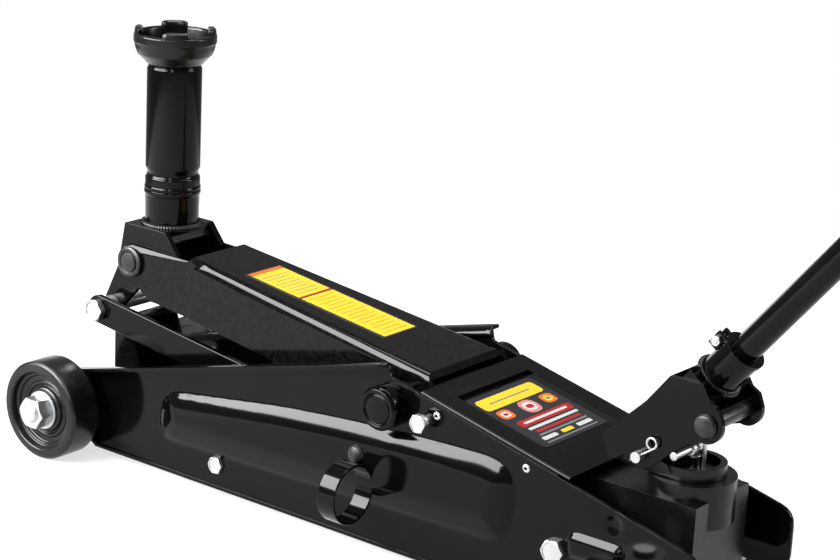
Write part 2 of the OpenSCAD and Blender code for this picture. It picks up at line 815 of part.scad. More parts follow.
// Swivel ring with a spigot in the pump block and two ears for the fulcrum bolt.
module turntable() {
    color([0.12, 0.12, 0.13]) jack() difference() {
        union() {
            translate([swivel_x, 0, block_top + side_gap]) difference() {
                cylinder(h = turn_z - block_top - side_gap, r = turn_r);
                translate([0, 0, 4]) cylinder(h = 20, r = turn_r - 5);
            }
            translate([swivel_x, 0, block_top - 4]) cylinder(h = 5, r = turn_r - 6 - run_gap);
            both_sides() plate_y(-24, -18) polygon([
                [fulcrum_x - 8, fulcrum_z - 4], [fulcrum_x - 4, block_top + 1], [swivel_x - 2, block_top + 1],
                [swivel_x - 8, turn_z], [fulcrum_x + 8, fulcrum_z], [fulcrum_x + 5, fulcrum_z + 7],
                [fulcrum_x - 5, fulcrum_z + 7]]);
        }
        translate([swivel_x, 0, 100]) cylinder(h = 40, r = plunger_r + side_gap);
        translate([swivel_x + rod_x_off, 0, 100]) cylinder(h = 40, r = rod_r + run_gap);
        rod_y(fulcrum_x, fulcrum_z, 4 + run_gap, -30, 30);
    }
}

module release_rod() {
    color(zinc) jack() {
        rod_bottom = sleeve_z + sleeve_h + 0.3;
        translate([swivel_x + rod_x_off, 0, rod_bottom]) cylinder(h = 146 - rod_bottom, r = rod_r);
        translate([swivel_x + rod_x_off, 0, 145]) cylinder(h = 3, r = 2 * rod_r);
    }
}

module plunger() {
    color([0.8, 0.78, 0.74]) jack()
        translate([swivel_x, 0, plunger_low]) cylinder(h = plunger_top - plunger_low, r = plunger_r);
}

// Return spring in the pump barrel, under the plunger: a wire swept along a helix.
module plunger_spring() {
    wire = 0.6;
    turns = 7;
    sides = 6;
    steps = 14;
    coil_r = plunger_r - wire - 0.3;
    pitch = (plunger_low - barrel_z - 2 * wire - 0.6) / turns;
    rings = turns * steps;
    points = [for (k = [0:rings], a = [0:sides - 1])
        let (turn = 360 * k / steps, round = 360 * a / sides, r = coil_r + wire * cos(round))
        [r * cos(turn), r * sin(turn), pitch * k / steps + wire * sin(round)]];
    walls = [for (k = [0:rings - 1], a = [0:sides - 1])
        let (b = (a + 1) % sides)
        [k * sides + a, (k + 1) * sides + a, (k + 1) * sides + b, k * sides + b]];
    ends = [[for (a = [0:sides - 1]) a], [for (a = [sides - 1:-1:0]) rings * sides + a]];
    color(zinc) jack() translate([swivel_x, 0, barrel_z + wire + 0.3])
        polyhedron(points, concat(walls, ends), convexity = 10);
}

// ---- lever and handle ----

module pump_lever() {
    color([0.07, 0.07, 0.075]) jack() {
        difference() {
            union() {
                both_sides() plate_y(-cheek_y - cheek_t, -cheek_y) union() {
                    polygon([
                        [456, 134], [461, 119], [484, 116], [497, 119], [528, 146], [548, 152],
                        [553, 164], [549, 174], [542, 178], [535, 190], [508, 190], [490, 167]]);
                    translate([lug_x, lug_z]) circle(13);
                    translate([fulcrum_x, fulcrum_z]) circle(10);
                }
                // the web across the front and top
                plate_y(-cheek_y - 0.5, cheek_y + 0.5) polygon([
                    [456, 134], [459, 125], [462.5, 126], [460, 134], [493, 166], [510, 187], [508, 190], [490, 167]]);
            }
            rod_y(fulcrum_x, fulcrum_z, 4 + run_gap, -40, 40);
            rod_y(lug_x, lug_z, 6, -40, 40);
            rod_y(swivel_x, roller_z, 3, -40, 40);
        }
        // the handle's socket, welded into the cheeks
        on_handle() difference() {
            union() {
                translate([0, 0, socket_from]) cylinder(h = socket_to - socket_from, r = socket_r);
                translate([0, 0, socket_to - 3]) cylinder(h = 3, r = socket_r + 1);
                translate([-12, -cheek_y - 1, socket_from - 2]) cube([26, 2 * cheek_y + 2, 9]);
                for (y = [-6, 3]) translate([-socket_r - 7, y, socket_to - 16]) cube([10, 3, 12]);
            }
            translate([0, 0, socket_from + 2]) cylinder(h = 100, r = tube_r + run_gap);
            translate([0, 0, socket_from - 10]) cylinder(h = 30, r = 5);
            translate([-socket_r - 3, 10, socket_to - 10]) rotate([90, 0, 0]) cylinder(h = 20, r = 2);
        }
    }
}

module plunger_roller() {
    color(steel) jack() {
        rod_y(swivel_x, roller_z, 3, -cheek_y - cheek_t, cheek_y + cheek_t);
        rod_y(swivel_x, roller_z, roller_r, -8, 8);
    }
}

// Clevis bolt with its head on the right, and a cross hole for the hairpin on the left.
module fulcrum_bolt() {
    color(zinc) jack() difference() {
        union() {
            rod_y(fulcrum_x, fulcrum_z, m8_r, -pin_y - 4, cheek_y + cheek_t + 1);
            rod_y(fulcrum_x, fulcrum_z, 7, cheek_y + cheek_t + side_gap, cheek_y + cheek_t + 5);
        }
        translate([fulcrum_x, -pin_y, fulcrum_z]) rotate([0, pin_tilt, 0])
            cylinder(h = 20, r = pin_wire + run_gap, center = true);
    }
}

// Spring clip: a leg through the bolt, and the loop that is bent from the same wire.
module hairpin() {
    color(zinc) jack() translate([fulcrum_x, -pin_y, fulcrum_z]) rotate([0, pin_tilt, 0]) {
        translate([0, 0, -8]) cylinder(h = 22, r = pin_wire);
        translate([0, 0, 16]) rotate([90, 0, 0]) rotate_extrude($fn = 32)
            translate([4, 0]) circle(pin_wire, $fn = 16);
    }
}

module handle_bolt() {
    color([0.2, 0.2, 0.2]) jack() {
        rod_y(lug_x, lug_z, 6, -cheek_y - cheek_t, cheek_y + cheek_t);
        rod_y(lug_x, lug_z, 9, -cheek_y - cheek_t - 4, -cheek_y - cheek_t);
        hex_y(lug_x, lug_z, 16, cheek_y + cheek_t, cheek_y + cheek_t + 6);
    }
}

module clamp_bolt() {
    color(zinc) jack() on_handle() translate([-socket_r - 3, 0, socket_to - 10]) {
        rod_y(0, 0, 2, -9, 9);
        hex_y(0, 0, 7, -9, -6);
        hex_y(0, 0, 7, 6, 9);
    }
}

module handle_lower() {
    color(black) jack() on_handle() {
        difference() {
            translate([0, 0, tube_from]) cylinder(h = lower_tube_l, r = tube_r);
            translate([0, 0, tube_from - 1]) cylinder(h = lower_tube_l + 2, r = joint_r + run_gap);
            rod_y(0, joint_at - 20, 3 + run_gap, -20, 0);
        }
    }
}

module handle_upper() {
    color(black) jack() on_handle() difference() {
        union() {
            translate([0, 0, joint_at - joint_l]) cylinder(h = joint_l + 1, r = joint_r);
            translate([0, 0, joint_at + 0.1]) cylinder(h = upper_tube_l, r = tube_r);
        }
        translate([0, 0, joint_at - joint_l - 1]) cylinder(h = upper_tube_l + 60, r = joint_r - 2);
        rod_y(0, joint_at - 20, 3 + run_gap, -20, 0);
    }
}

// Sprung button that locks the two tubes together.
module joint_button() {
    color(zinc) jack() on_handle() {
        rod_y(0, joint_at - 20, 3, -tube_r - 1.5, -joint_r + 4);
        rod_y(0, joint_at - 20, 4, -joint_r + 3.6, -joint_r + 5.1);
    }
}

module grip() {
    color([0.12, 0.12, 0.12]) jack() on_handle() translate([0, 0, grip_end - grip_l])
        rotate_extrude() polygon(concat(
            [[tube_r, grip_l - 5], [tube_r, 0], [tube_r + 3, 0]],
            [for (k = [0:9], s = [0, 1]) [grip_r - (s == 0 ? 2 : 0), 4 + k * 11 + s * 5]],
            [[grip_r, grip_l], [0, grip_l], [0, grip_l - 4.8], [tube_r, grip_l - 4.8]]));
}

side_plate_left();
side_plate_right();
front_axle();
axle_spacers();
axle_washers();
axle_nuts();
front_wheel_left();
front_wheel_right();
front_rest();
front_tie_tube();
front_tie_bolt();
rear_tie_bolt();
stop_bolt();
pivot_shaft();
pivot_hubs();
link_bolts_rear();
cover_plate();
cover_screws();
cover_label();
storage_ring();
caster_brackets();
bracket_bolts();
caster_fork_left();
caster_fork_right();
caster_wheel_left();
caster_wheel_right();
lift_arm();
arm_lever();
ram_pin();
arm_label();
saddle_carrier();
carrier_pin();
link_bolts_front();
lower_post();
lower_link_left();
lower_link_right();
extension_post();
saddle();
pump_block();
reservoir();
ram_cylinder();
gland_nut();
ram();
filler_plug();
release_sleeve();
turntable();
release_rod();
plunger();
plunger_spring();
pump_lever();
plunger_roller();
fulcrum_bolt();
hairpin();
handle_bolt();
clamp_bolt();
handle_lower();
handle_upper();
joint_button();
grip();
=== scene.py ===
import json
import math
import random

import bmesh
import bpy
from mathutils import Matrix, Vector, noise
from mathutils.geometry import delaunay_2d_cdt


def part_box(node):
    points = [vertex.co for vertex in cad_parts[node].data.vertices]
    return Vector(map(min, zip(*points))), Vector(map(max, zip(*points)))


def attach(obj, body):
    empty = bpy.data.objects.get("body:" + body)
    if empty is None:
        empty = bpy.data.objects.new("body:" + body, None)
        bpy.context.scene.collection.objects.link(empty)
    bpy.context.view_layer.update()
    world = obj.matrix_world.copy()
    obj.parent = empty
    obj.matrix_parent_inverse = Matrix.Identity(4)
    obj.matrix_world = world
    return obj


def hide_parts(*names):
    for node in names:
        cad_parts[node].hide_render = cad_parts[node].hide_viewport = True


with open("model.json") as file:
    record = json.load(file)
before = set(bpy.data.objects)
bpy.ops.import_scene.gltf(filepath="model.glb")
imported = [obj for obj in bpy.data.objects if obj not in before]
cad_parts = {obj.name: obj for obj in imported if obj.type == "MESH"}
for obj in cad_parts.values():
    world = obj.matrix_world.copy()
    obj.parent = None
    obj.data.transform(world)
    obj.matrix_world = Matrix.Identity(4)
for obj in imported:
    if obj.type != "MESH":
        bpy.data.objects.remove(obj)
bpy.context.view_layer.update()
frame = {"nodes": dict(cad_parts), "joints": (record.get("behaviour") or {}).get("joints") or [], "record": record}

# ---- the studio ----
# A plain pale floor, faintly lit from below, under five soft boxes. The broad left one draws
# long pale streaks along the bends of the black enamel and leaves its flat sides dark.

mm = 0.001
joints = {joint["name"]: joint for joint in frame["joints"]}
post_x = joints["saddle_turn"]["pos_m"][0]


def spot(x, y, z):
    """A point in millimetres, counted from the lift post's axis on the floor."""
    return Vector((post_x + x * mm, y * mm, z * mm))


class Signal:
    """What leaves a shader node. Arithmetic on it adds Math nodes."""

    def __init__(self, finish, socket):
        self.finish, self.socket = finish, socket

    def math(self, operation, *values, clamp=False):
        settings = {"operation": operation, "use_clamp": clamp}
        return self.finish.add("ShaderNodeMath", settings, dict(enumerate(values)))

    def __add__(self, other):
        return self.math("ADD", self, other)

    def __sub__(self, other):
        return self.math("SUBTRACT", self, other)

    def __rsub__(self, other):
        return self.math("SUBTRACT", other, self)

    def __mul__(self, other):
        return self.math("MULTIPLY", self, other)

    __radd__ = __add__
    __rmul__ = __mul__

    def between(self, low, high):
        """0 below low, 1 above high, and a straight ramp from one to the other."""
        return self.math("MULTIPLY", self - low, 1 / (high - low), clamp=True)


class Finish:
    """One surface finish: a node tree around a Principled shader."""

    def __init__(self, name, kind=bpy.data.materials):
        self.block = kind.new(name)
        self.block.use_nodes = True
        self.tree = self.block.node_tree
        self.tree.nodes.clear()

    def add(self, kind, settings=None, inputs=None, output=0):
        node = self.tree.nodes.new(kind)
        for name, value in (settings or {}).items():
            if name == "stops":
                while len(node.color_ramp.elements) < len(value):
                    node.color_ramp.elements.new(1)
                for element, (place, colour) in zip(node.color_ramp.elements, value):
                    element.position = place
                    element.color = (*colour, 1)
            else:
                setattr(node, name, value)
        for name, value in (inputs or {}).items():
            if isinstance(value, Signal):
                self.tree.links.new(value.socket, node.inputs[name])
            else:
                node.inputs[name].default_value = value
        return Signal(self, node.outputs[output])

    def surface(self, **values):
        """The Principled shader, its sockets named with _ for each space, and the output."""
        inputs = {name.replace("_", " "): value for name, value in values.items()}
        shader = self.add("ShaderNodeBsdfPrincipled", {}, inputs)
        self.add_output("ShaderNodeOutputMaterial", shader)
        return self

    def add_output(self, kind, shader):
        node = self.tree.nodes.new(kind)
        self.tree.links.new(shader.socket, node.inputs["Surface"])

    def place(self, output="Object"):
        return self.add("ShaderNodeTexCoord", {}, {}, output)

    def grain(self, scale, detail=4.0, rough=0.55, stretch=None):
        """Noise with a feature size of 1/scale metres, from 0 to 1."""
        vector = self.place()
        if stretch:
            settings = {"operation": "MULTIPLY"}
            vector = self.add("ShaderNodeVectorMath", settings, {0: vector, 1: stretch})
        values = {"Vector": vector, "Scale": scale, "Detail": detail, "Roughness": rough}
        return self.add("ShaderNodeTexNoise", {}, values)

    def worn_and_highlit_edges(self, amount=1.0):
        """Where the surface bends sharply outwards, broken up by a grain: edge wear and a painted edge highlight.
        """
        bend = self.add("ShaderNodeNewGeometry", {}, {}, "Pointiness")
        return bend.between(0.52, 0.60) * self.grain(260).between(0.42, 0.62) * amount

    def mix(self, share, first, second):
        """A colour between two."""
        settings = {"data_type": "RGBA", "blend_type": "MIX"}
        inputs = {"Factor": share, 6: first, 7: second}
        return self.add("ShaderNodeMix", settings, inputs, 2)

    def bump(self, height, strength, distance):
        values = {"Strength": strength, "Distance": distance, "Height": height}
        return self.add("ShaderNodeBump", {}, values)


view_turn, view_rise, view_roll = (math.radians(a) for a in (37.41, 16.24, 2.86))
back = Vector((math.sin(view_turn) * math.cos(view_rise),
               -math.cos(view_turn) * math.cos(view_rise), math.sin(view_rise)))
level = Vector((math.cos(view_turn), math.sin(view_turn), 0))
up = back.cross(level)
right = level * math.cos(view_roll) + up * math.sin(view_roll)
up = up * math.cos(view_roll) - level * math.sin(view_roll)
camera = bpy.data.objects.new("camera", bpy.data.cameras.new("camera"))
camera.data.lens = 99.84
camera.data.sensor_width = 36
camera.data.clip_end = 50
aim = spot(262.7, 0, 200.2)
turn = Matrix((right, up, back)).transposed().to_4x4()
camera.matrix_world = Matrix.Translation(aim + back * 1.7836) @ turn
bpy.context.scene.collection.objects.link(camera)
bpy.context.scene.camera = camera
bpy.context.scene.view_settings.view_transform = "Standard"

# the room is white where it is looked at, and darker where it only lights the jack
room = Finish("studio_room", bpy.data.worlds)
sky = room.add("ShaderNodeBackground", {}, {"Color": (1, 1, 1, 1), "Strength": 1.0})
glow = room.add("ShaderNodeBackground", {}, {"Color": (0.97, 0.98, 1, 1), "Strength": 0.30})
seen = room.add("ShaderNodeLightPath", {}, {}, "Is Camera Ray")
both = room.add("ShaderNodeMixShader", {}, {"Fac": seen, 1: glow, 2: sky})
room.add_output("ShaderNodeOutputWorld", both)
bpy.context.scene.world = room.block

soft_boxes = [
    # name, where it stands, the point it faces, width, height, power in watts
    ("left_box", spot(-650, -1400, 1150), spot(150, 0, 100), 1.8, 1.2, 270),
    ("top_box", spot(150, 250, 1900), spot(250, 0, 0), 1.9, 0.6, 44),
    ("rear_box", spot(1500, 900, 900), spot(450, 0, 100), 0.6, 1.0, 24),
    ("front_strip", spot(900, -1500, 1300), spot(300, 0, 100), 0.2, 1.6, 18),
    ("back_strip", spot(-1400, 1200, 180), spot(250, 0, 100), 0.8, 0.35, 2.5)]
for name, stand, faced, width, height, power in soft_boxes:
    lamp = bpy.data.lights.new(name, "AREA")
    lamp.shape = "RECTANGLE"
    lamp.size, lamp.size_y, lamp.energy = width, height, power
    box = bpy.data.objects.new(name, lamp)
    box.matrix_world = Matrix.Translation(stand) @ (stand - faced).to_track_quat("Z", "Y").to_matrix().to_4x4()
    bpy.context.scene.collection.objects.link(box)

floor_radius, floor_middle = 1.9, Vector((0.47, -0.61, 0))
floor_mesh = bmesh.new()
rim = [floor_mesh.verts.new(floor_middle + Vector((floor_radius * math.cos(a), floor_radius * math.sin(a), 0)))
       for a in (math.tau * k / 64 for k in range(64))]
floor_mesh.faces.new(rim)
floor = bpy.data.objects.new("floor", bpy.data.meshes.new("floor"))
floor_mesh.to_mesh(floor.data)
bpy.context.scene.collection.objects.link(floor)
paper = Finish("pale_floor")
paper_tone = paper.mix(paper.grain(3), (0.19, 0.19, 0.19, 1), (0.21, 0.21, 0.21, 1))
paper.surface(Base_Color=paper_tone, Roughness=0.9, Specular_IOR_Level=0.0,
              Emission_Color=(1, 1, 1, 1), Emission_Strength=0.68)
floor.data.materials.append(paper.block)

# ---- side plates ----
# Two 3 mm steel pressings, mirrored. Each has a long raised panel with soft shoulders, a
# smaller one at the tail, a rolled flange on its top front edge and a narrow one below.

bodies = frame["record"]["behaviour"]["bodies"]
body_of = {node: body for body, nodes in bodies.items() for node in nodes}

enamel = Finish("gloss_black_enamel")
dust = enamel.grain(9, 6).between(0.45, 0.85)
flow = enamel.grain(420, 2)
# pale sharp edges: partly edge wear, partly a painted highlight along the bends
enamel_edge_wear_and_highlight = enamel.worn_and_highlit_edges(0.05)
scuff = enamel.grain(60, 8, 0.7, (1, 3, 3)).between(0.66, 0.74)
black = enamel.mix(dust, (0.0006, 0.0006, 0.0007, 1), (0.0016, 0.0016, 0.0017, 1))
# the sharp edges are lightened towards dark grey: edge wear and a painted edge highlight
black = enamel.mix(enamel_edge_wear_and_highlight, black, (0.03, 0.029, 0.028, 1))
enamel.surface(
    Base_Color=black, Roughness=0.10 + dust * 0.03 + scuff * 0.03 + enamel_edge_wear_and_highlight * 0.3,
    Specular_IOR_Level=0.115, Normal=enamel.bump(flow, 0.02, 0.00001))


def fit(piece, finish, *nodes):
    """Gives a piece its finish and stands it in for the plain solids of its place."""
    if piece.name not in bpy.context.scene.collection.objects:
        bpy.context.scene.collection.objects.link(piece)
    if not piece.data.materials:
        piece.data.materials.append(finish.block)
    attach(piece, body_of[nodes[0]])
    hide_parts(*nodes)
    return piece


def shaded(mesh, angle=38):
    """Smooth shading that stays sharp past an angle."""
    for polygon in mesh.polygons:
        polygon.use_smooth = True
    mesh.set_sharp_from_angle(angle=math.radians(angle))
    return mesh


def rounded(piece, width, segments=3, angle=30):
    """Breaks a piece's sharp edges to a radius, in millimetres."""
    bevel = piece.modifiers.new("broken_edges", "BEVEL")
    bevel.width = width * mm
    bevel.segments = segments
    bevel.limit_method = "ANGLE"
    bevel.angle_limit = math.radians(angle)
    weigh = piece.modifiers.new("flat_faces", "WEIGHTED_NORMAL")
    weigh.keep_sharp = True
    return piece


def from_bmesh(name, shape, angle=38):
    bmesh.ops.recalc_face_normals(shape, faces=shape.faces)
    mesh = bpy.data.meshes.new(name)
    shape.to_mesh(mesh)
    shape.free()
    return bpy.data.objects.new(name, shaded(mesh, angle))


def machined(node, finish, edge=0.5, segments=2, name=None):
    """A node's own shape with its edges broken, as it leaves the tumbler."""
    shape = bmesh.new()
    shape.from_mesh(frame["nodes"][node].data)
    bmesh.ops.remove_doubles(shape, verts=shape.verts, dist=2e-6)
    bmesh.ops.dissolve_limit(shape, angle_limit=math.radians(0.6), verts=shape.verts, edges=shape.edges)
    piece = from_bmesh(name or node + "_finished", shape)
    return fit(rounded(piece, edge, segments), finish, node)


def inside(point, outline):
    """Signed distance from an outline, in its own units: positive inside it."""
    x, z = point
    within, least = False, 1e9
    for (x1, z1), (x2, z2) in zip(outline, outline[1:] + outline[:1]):
        if (z1 > z) != (z2 > z) and x < (x2 - x1) * (z - z1) / (z2 - z1) + x1:
            within = not within
        length = (x2 - x1) ** 2 + (z2 - z1) ** 2
        share = max(0, min(1, ((x - x1) * (x2 - x1) + (z - z1) * (z2 - z1)) / length))
        least = min(least, math.hypot(x - x1 - share * (x2 - x1), z - z1 - share * (z2 - z1)))
    return least if within else -least


def eased(points, radius, steps=4, closed=True):
    """An outline with each corner replaced by a short curve."""
    result = []
    count = len(points)
    for k, corner in enumerate(points):
        if not closed and k in (0, count - 1):
            result.append(tuple(corner))
            continue
        here = Vector(corner)
        sides = [Vector(points[(k + step) % count]) - here for step in (-1, 1)]
        first, last = (here + side.normalized() * min(radius, side.length * 0.48) for side in sides)
        for s in (j / steps for j in range(steps + 1)):
            result.append(tuple(first * (1 - s) ** 2 + here * 2 * s * (1 - s) + last * s ** 2))
    return result


def circle(x, z, radius, steps=32):
    return [(x + radius * math.cos(a), z + radius * math.sin(a))
            for a in (math.tau * k / steps for k in range(steps))]


half_width = 62.5
sheet = 3
axle = Vector((-45, 41.5))
apex = Vector((288, 152))
flange_start = Vector((-38, 69))
tail = Vector((566, 81))
plate_bottom = 7
flange_reach = 12
arm_pivot = Vector((291, 122.5))
slope_up = (apex - flange_start).normalized()
cover_fall = math.atan((144 - tail.y) / (tail.x - apex.x))
nose = [(axle.x + 16 * math.cos(a), axle.y + 16 * math.sin(a))
        for a in (math.radians(d) for d in range(110, 291, 15))]
plate_outline = (
    [tuple(flange_start), (-46, 64)] + nose + [(-30, 12), (-22, plate_bottom), (436, plate_bottom)]
    + eased([(436, plate_bottom), (476, 32), (tail.x, 32), (tail.x, 78.3), (290, 144)],
            12, closed=False)[1:] + [(289, 147), tuple(apex)])
main_panel = eased([(54, 35), (398, 43), (405, 60), (408, 92), (392, 105), (308, 101),
                    (247, 97), (184, 91), (60, 73)], 16)
tail_panel = eased([(457, 52), (500, 54), (503, 68), (459, 68)], 6)
plate_holes = [(axle.x, axle.y, 8.1), (arm_pivot.x, arm_pivot.y, 10.1), (265.5, 78, 4.1),
               (117, 27, 4.1), (446, 51, 5.1), (326, 119, 4.1), (486, 41, 3.1), (514, 41, 3.1)]
dimple = (494, 85, 9)


def smooth(t):
    t = max(0, min(1, t))
    return t * t * (3 - 2 * t)


def pressing(x, z):
    """How far the sheet stands out of its plane, in millimetres."""
    wide = 17 + 14 * smooth((80 - z) / 40) + 4 * smooth((x - 330) / 60)
    climb = max(0, min(1, (inside((x, z), main_panel) + 3) / wide))
    main = 7 * (1 - (1 - climb) ** 1.6) * smooth(climb * 5)
    small = 4 * smooth((inside((x, z), tail_panel) + 2) / 5)
    cup = 2.2 * smooth(1.6 - math.hypot(x - dimple[0], z - dimple[1]) / dimple[2] * 1.5)
    hub_flat = smooth((math.hypot(x - arm_pivot.x, z - arm_pivot.y) - 17) / 10)
    return max(main * hub_flat, small) - cup


def side_plate(name, node, side):
    """One whole pressing; side is -1 on the left and 1 on the right."""
    # the sheet, meshed finely enough for its pressed shoulders
    grid = 2.6
    outline = []
    for (x1, z1), (x2, z2) in zip(plate_outline, plate_outline[1:] + plate_outline[:1]):
        parts = max(1, round(math.hypot(x2 - x1, z2 - z1) / (2 * grid)))
        outline += [(x1 + (x2 - x1) * k / parts, z1 + (z2 - z1) * k / parts) for k in range(parts)]
    loops = [outline] + [circle(*hole) for hole in plate_holes]
    points, edges = [], []
    for loop in loops:
        start = len(points)
        points += [Vector(p) for p in loop]
        edges += [(start + k, start + (k + 1) % len(loop)) for k in range(len(loop))]
    for row in range(int(150 / grid)):
        for column in range(int(630 / grid)):
            point = (-60 + grid * (column + (row % 2) / 2), plate_bottom + grid * row)
            if inside(point, plate_outline) > 1.6 and all(
                    math.hypot(point[0] - x, point[1] - z) > r + 1.5 for x, z, r in plate_holes):
                points.append(Vector(point))
    places, _, faces, *_ = delaunay_2d_cdt(points, edges, [], 1, 1e-4)
    shape = bmesh.new()
    verts = [shape.verts.new(spot(p.x, side * (half_width + pressing(p.x, p.y)), p.y)) for p in places]
    for face in faces:
        middle = sum((places[k] for k in face), Vector((0, 0))) / len(face)
        if all(math.hypot(middle.x - x, middle.y - z) > r for x, z, r in plate_holes):
            shape.faces.new([verts[k] for k in face])
    # the rolled top flange, as a strip bent outwards along the sloping edge
    bend = 4
    rise = Vector((-slope_up.y, slope_up.x))
    length = (apex - flange_start).length
    stations = round(length / (2 * grid))
    strip = []
    for k in range(stations + 1):
        foot = flange_start + slope_up * length * k / stations
        taper = min(1, k / 3, (stations - k + 1.5) / 3)
        row = [(0, 0)]
        row += [(bend * (1 - math.cos(a)), bend * math.sin(a) - bend)
                for a in (math.radians(d) for d in (20, 45, 70, 90))]
        row.append((flange_reach * (0.75 + 0.25 * taper), 0))
        line = []
        for out, lift in row[1:]:
            p = foot + rise * lift
            line.append(shape.verts.new(spot(p.x, side * (half_width + out), p.y)))
        foot_low = foot + rise * -bend
        line.insert(0, shape.verts.new(spot(foot_low.x, side * (half_width + 0.05), foot_low.y)))
        strip.append(line)
    for first, second in zip(strip, strip[1:]):
        for k in range(len(first) - 1):
            shape.faces.new((first[k], first[k + 1], second[k + 1], second[k]))
    # the narrow flange below
    low = []
    for x in range(-20, 431, 15):
        low.append([shape.verts.new(spot(x, side * (half_width + out), plate_bottom + lift))
                    for out, lift in ((0.05, 3), (0.8, 0.9), (2, 0.1), (4.5, 0))])
    for first, second in zip(low, low[1:]):
        for k in range(3):
            shape.faces.new((first[k], first[k + 1], second[k + 1], second[k]))
    piece = from_bmesh(name, shape, 50)
    for polygon in piece.data.polygons:
        if polygon.normal.y * side < 0 and abs(polygon.normal.y) > 0.2:
            piece.data.flip_normals()
            break
    thick = piece.modifiers.new("sheet", "SOLIDIFY")
    thick.thickness = sheet * mm
    thick.offset = -1
    edge = piece.modifiers.new("sheared_edge", "BEVEL")
    edge.width = 0.5 * mm
    edge.segments = 2
    edge.limit_method = "ANGLE"
    edge.angle_limit = math.radians(60)
    fit(piece, enamel, node)


side_plate("left_side_plate", "side_plate_left", -1)
side_plate("right_side_plate", "side_plate_right", 1)

# ---- front axle ----
# A turned bar through both plates, with tube spacers that hold the wheels off the frame,
# and a zinc-plated washer and nut on each threaded end.

zinc = Finish("bright_zinc_plate")
cloud = zinc.grain(140, 6, 0.65)
tarnish = zinc.grain(28, 5).between(0.5, 0.8)
pit = zinc.grain(900, 3).between(0.62, 0.72)
plate_colour = zinc.mix(cloud, (0.36, 0.37, 0.38, 1), (0.52, 0.53, 0.53, 1))
plate_colour = zinc.mix(tarnish * 0.5, plate_colour, (0.28, 0.26, 0.22, 1))
zinc.surface(Base_Color=plate_colour, Metallic=0.9 + cloud * 0.1, Roughness=0.24 + cloud * 0.18 + pit * 0.2,
             Normal=zinc.bump(cloud, 0.10, 0.0003))

steel = Finish("oiled_machined_steel")
turned = steel.grain(3000, 2, 0.5, (0.02, 1, 0.02))
oil = steel.grain(45, 6).between(0.45, 0.75)
steel_colour = steel.mix(oil, (0.42, 0.41, 0.40, 1), (0.25, 0.22, 0.18, 1))
steel.surface(Base_Color=steel_colour, Metallic=1.0, Roughness=0.26 + oil * 0.14 + turned * 0.12,
              Normal=steel.bump(turned, 0.12, 0.0002))


def lathe(name, profile, centre, axis, ease=0.5, steps=96, closed=True, angle=38, fluted=None):
    """A turned part: profile is (radius, distance along the axis) from centre, in millimetres."""
    points = eased(profile, ease, 3, closed) if ease else profile
    along = Vector(axis).normalized()
    across = along.orthogonal().normalized()
    third = along.cross(across)
    shape = bmesh.new()
    rings = []
    for k in range(steps):
        a = math.tau * k / steps
        out = across * math.cos(a) + third * math.sin(a)
        rings.append([shape.verts.new(centre + along * z * mm + out * (r * (fluted(a, z) if fluted else 1)) * mm)
                      for r, z in points])
    sides = len(points) if closed else len(points) - 1
    for ring, following in zip(rings, rings[1:] + rings[:1]):
        for k in range(sides):
            j = (k + 1) % len(points)
            shape.faces.new((ring[k], ring[j], following[j], following[k]))
    bmesh.ops.remove_doubles(shape, verts=shape.verts, dist=1e-7)
    bmesh.ops.dissolve_degenerate(shape, edges=shape.edges, dist=1e-7)
    return from_bmesh(name, shape, angle)


def hexagon(shape, centre, axis, across_flats, height, hole=0.0, dish=0.4, turn=0.2):
    """A forged hexagon with its chamfer, added to shape: its face is at centre, and axis points out."""
    along = Vector(axis).normalized()
    first = along.orthogonal().normalized()
    third = along.cross(first)
    flat = across_flats / 2
    rings = []
    steps = 72
    for k in range(steps):
        a = math.tau * k / steps
        wedge = (a % (math.pi / 3)) - math.pi / 6
        out = first * math.cos(a + turn) + third * math.sin(a + turn)
        reach = min(flat / math.cos(wedge), flat * 1.13)
        drop = max(0, reach - flat * 0.96) * math.tan(math.radians(30))
        inner = hole if hole else 0.0
        points = [(inner, 0), (reach * 0.985, 0), (reach, 0.3), (reach, height - drop),
                  (flat * 0.95, height), (flat * 0.9, height), (flat * 0.84, height - dish),
                  (inner, height - dish)]
        rings.append([shape.verts.new(centre + along * z * mm + out * r * mm) for r, z in points])
    for ring, following in zip(rings, rings[1:] + rings[:1]):
        for k in range(len(points)):
            j = (k + 1) % len(points)
            shape.faces.new((ring[k], ring[j], following[j], following[k]))
    bmesh.ops.remove_doubles(shape, verts=shape.verts, dist=1e-7)


def thread(shape, centre, axis, radius, length, pitch=1.5):
    """A screw thread with a domed end, added to shape."""
    along = Vector(axis).normalized()
    first = along.orthogonal().normalized()
    third = along.cross(first)
    steps, rows = 48, round(length / pitch * 8)
    rings = []
    for j in range(rows + 1):
        z = length * j / rows
        ring = []
        for k in range(steps):
            phase = (z / pitch + k / steps) % 1
            depth = 0.55 * pitch * abs(phase - 0.5) * 2 * 0.6
            near_end = smooth((length - z) / (0.8 * pitch))
            reach = (radius - depth) * (0.82 + 0.18 * near_end)
            a = math.tau * k / steps
            out = first * math.cos(a) + third * math.sin(a)
            ring.append(shape.verts.new(centre + (along * z + out * reach) * mm))
        rings.append(ring)
    for ring, following in zip(rings, rings[1:]):
        for k in range(steps):
            j = (k + 1) % steps
            shape.faces.new((ring[k], ring[j], following[j], following[k]))
    shape.faces.new(rings[-1])
    shape.faces.new(rings[0][::-1])


def washer(shape, centre, axis, radius, hole, height):
    """A stamped washer with one rolled face, added to shape."""
    disc = lathe("blank", [(hole, 0), (radius, 0), (radius, height), (hole, height)], centre, axis, 0.3, 64)
    shape.from_mesh(disc.data)


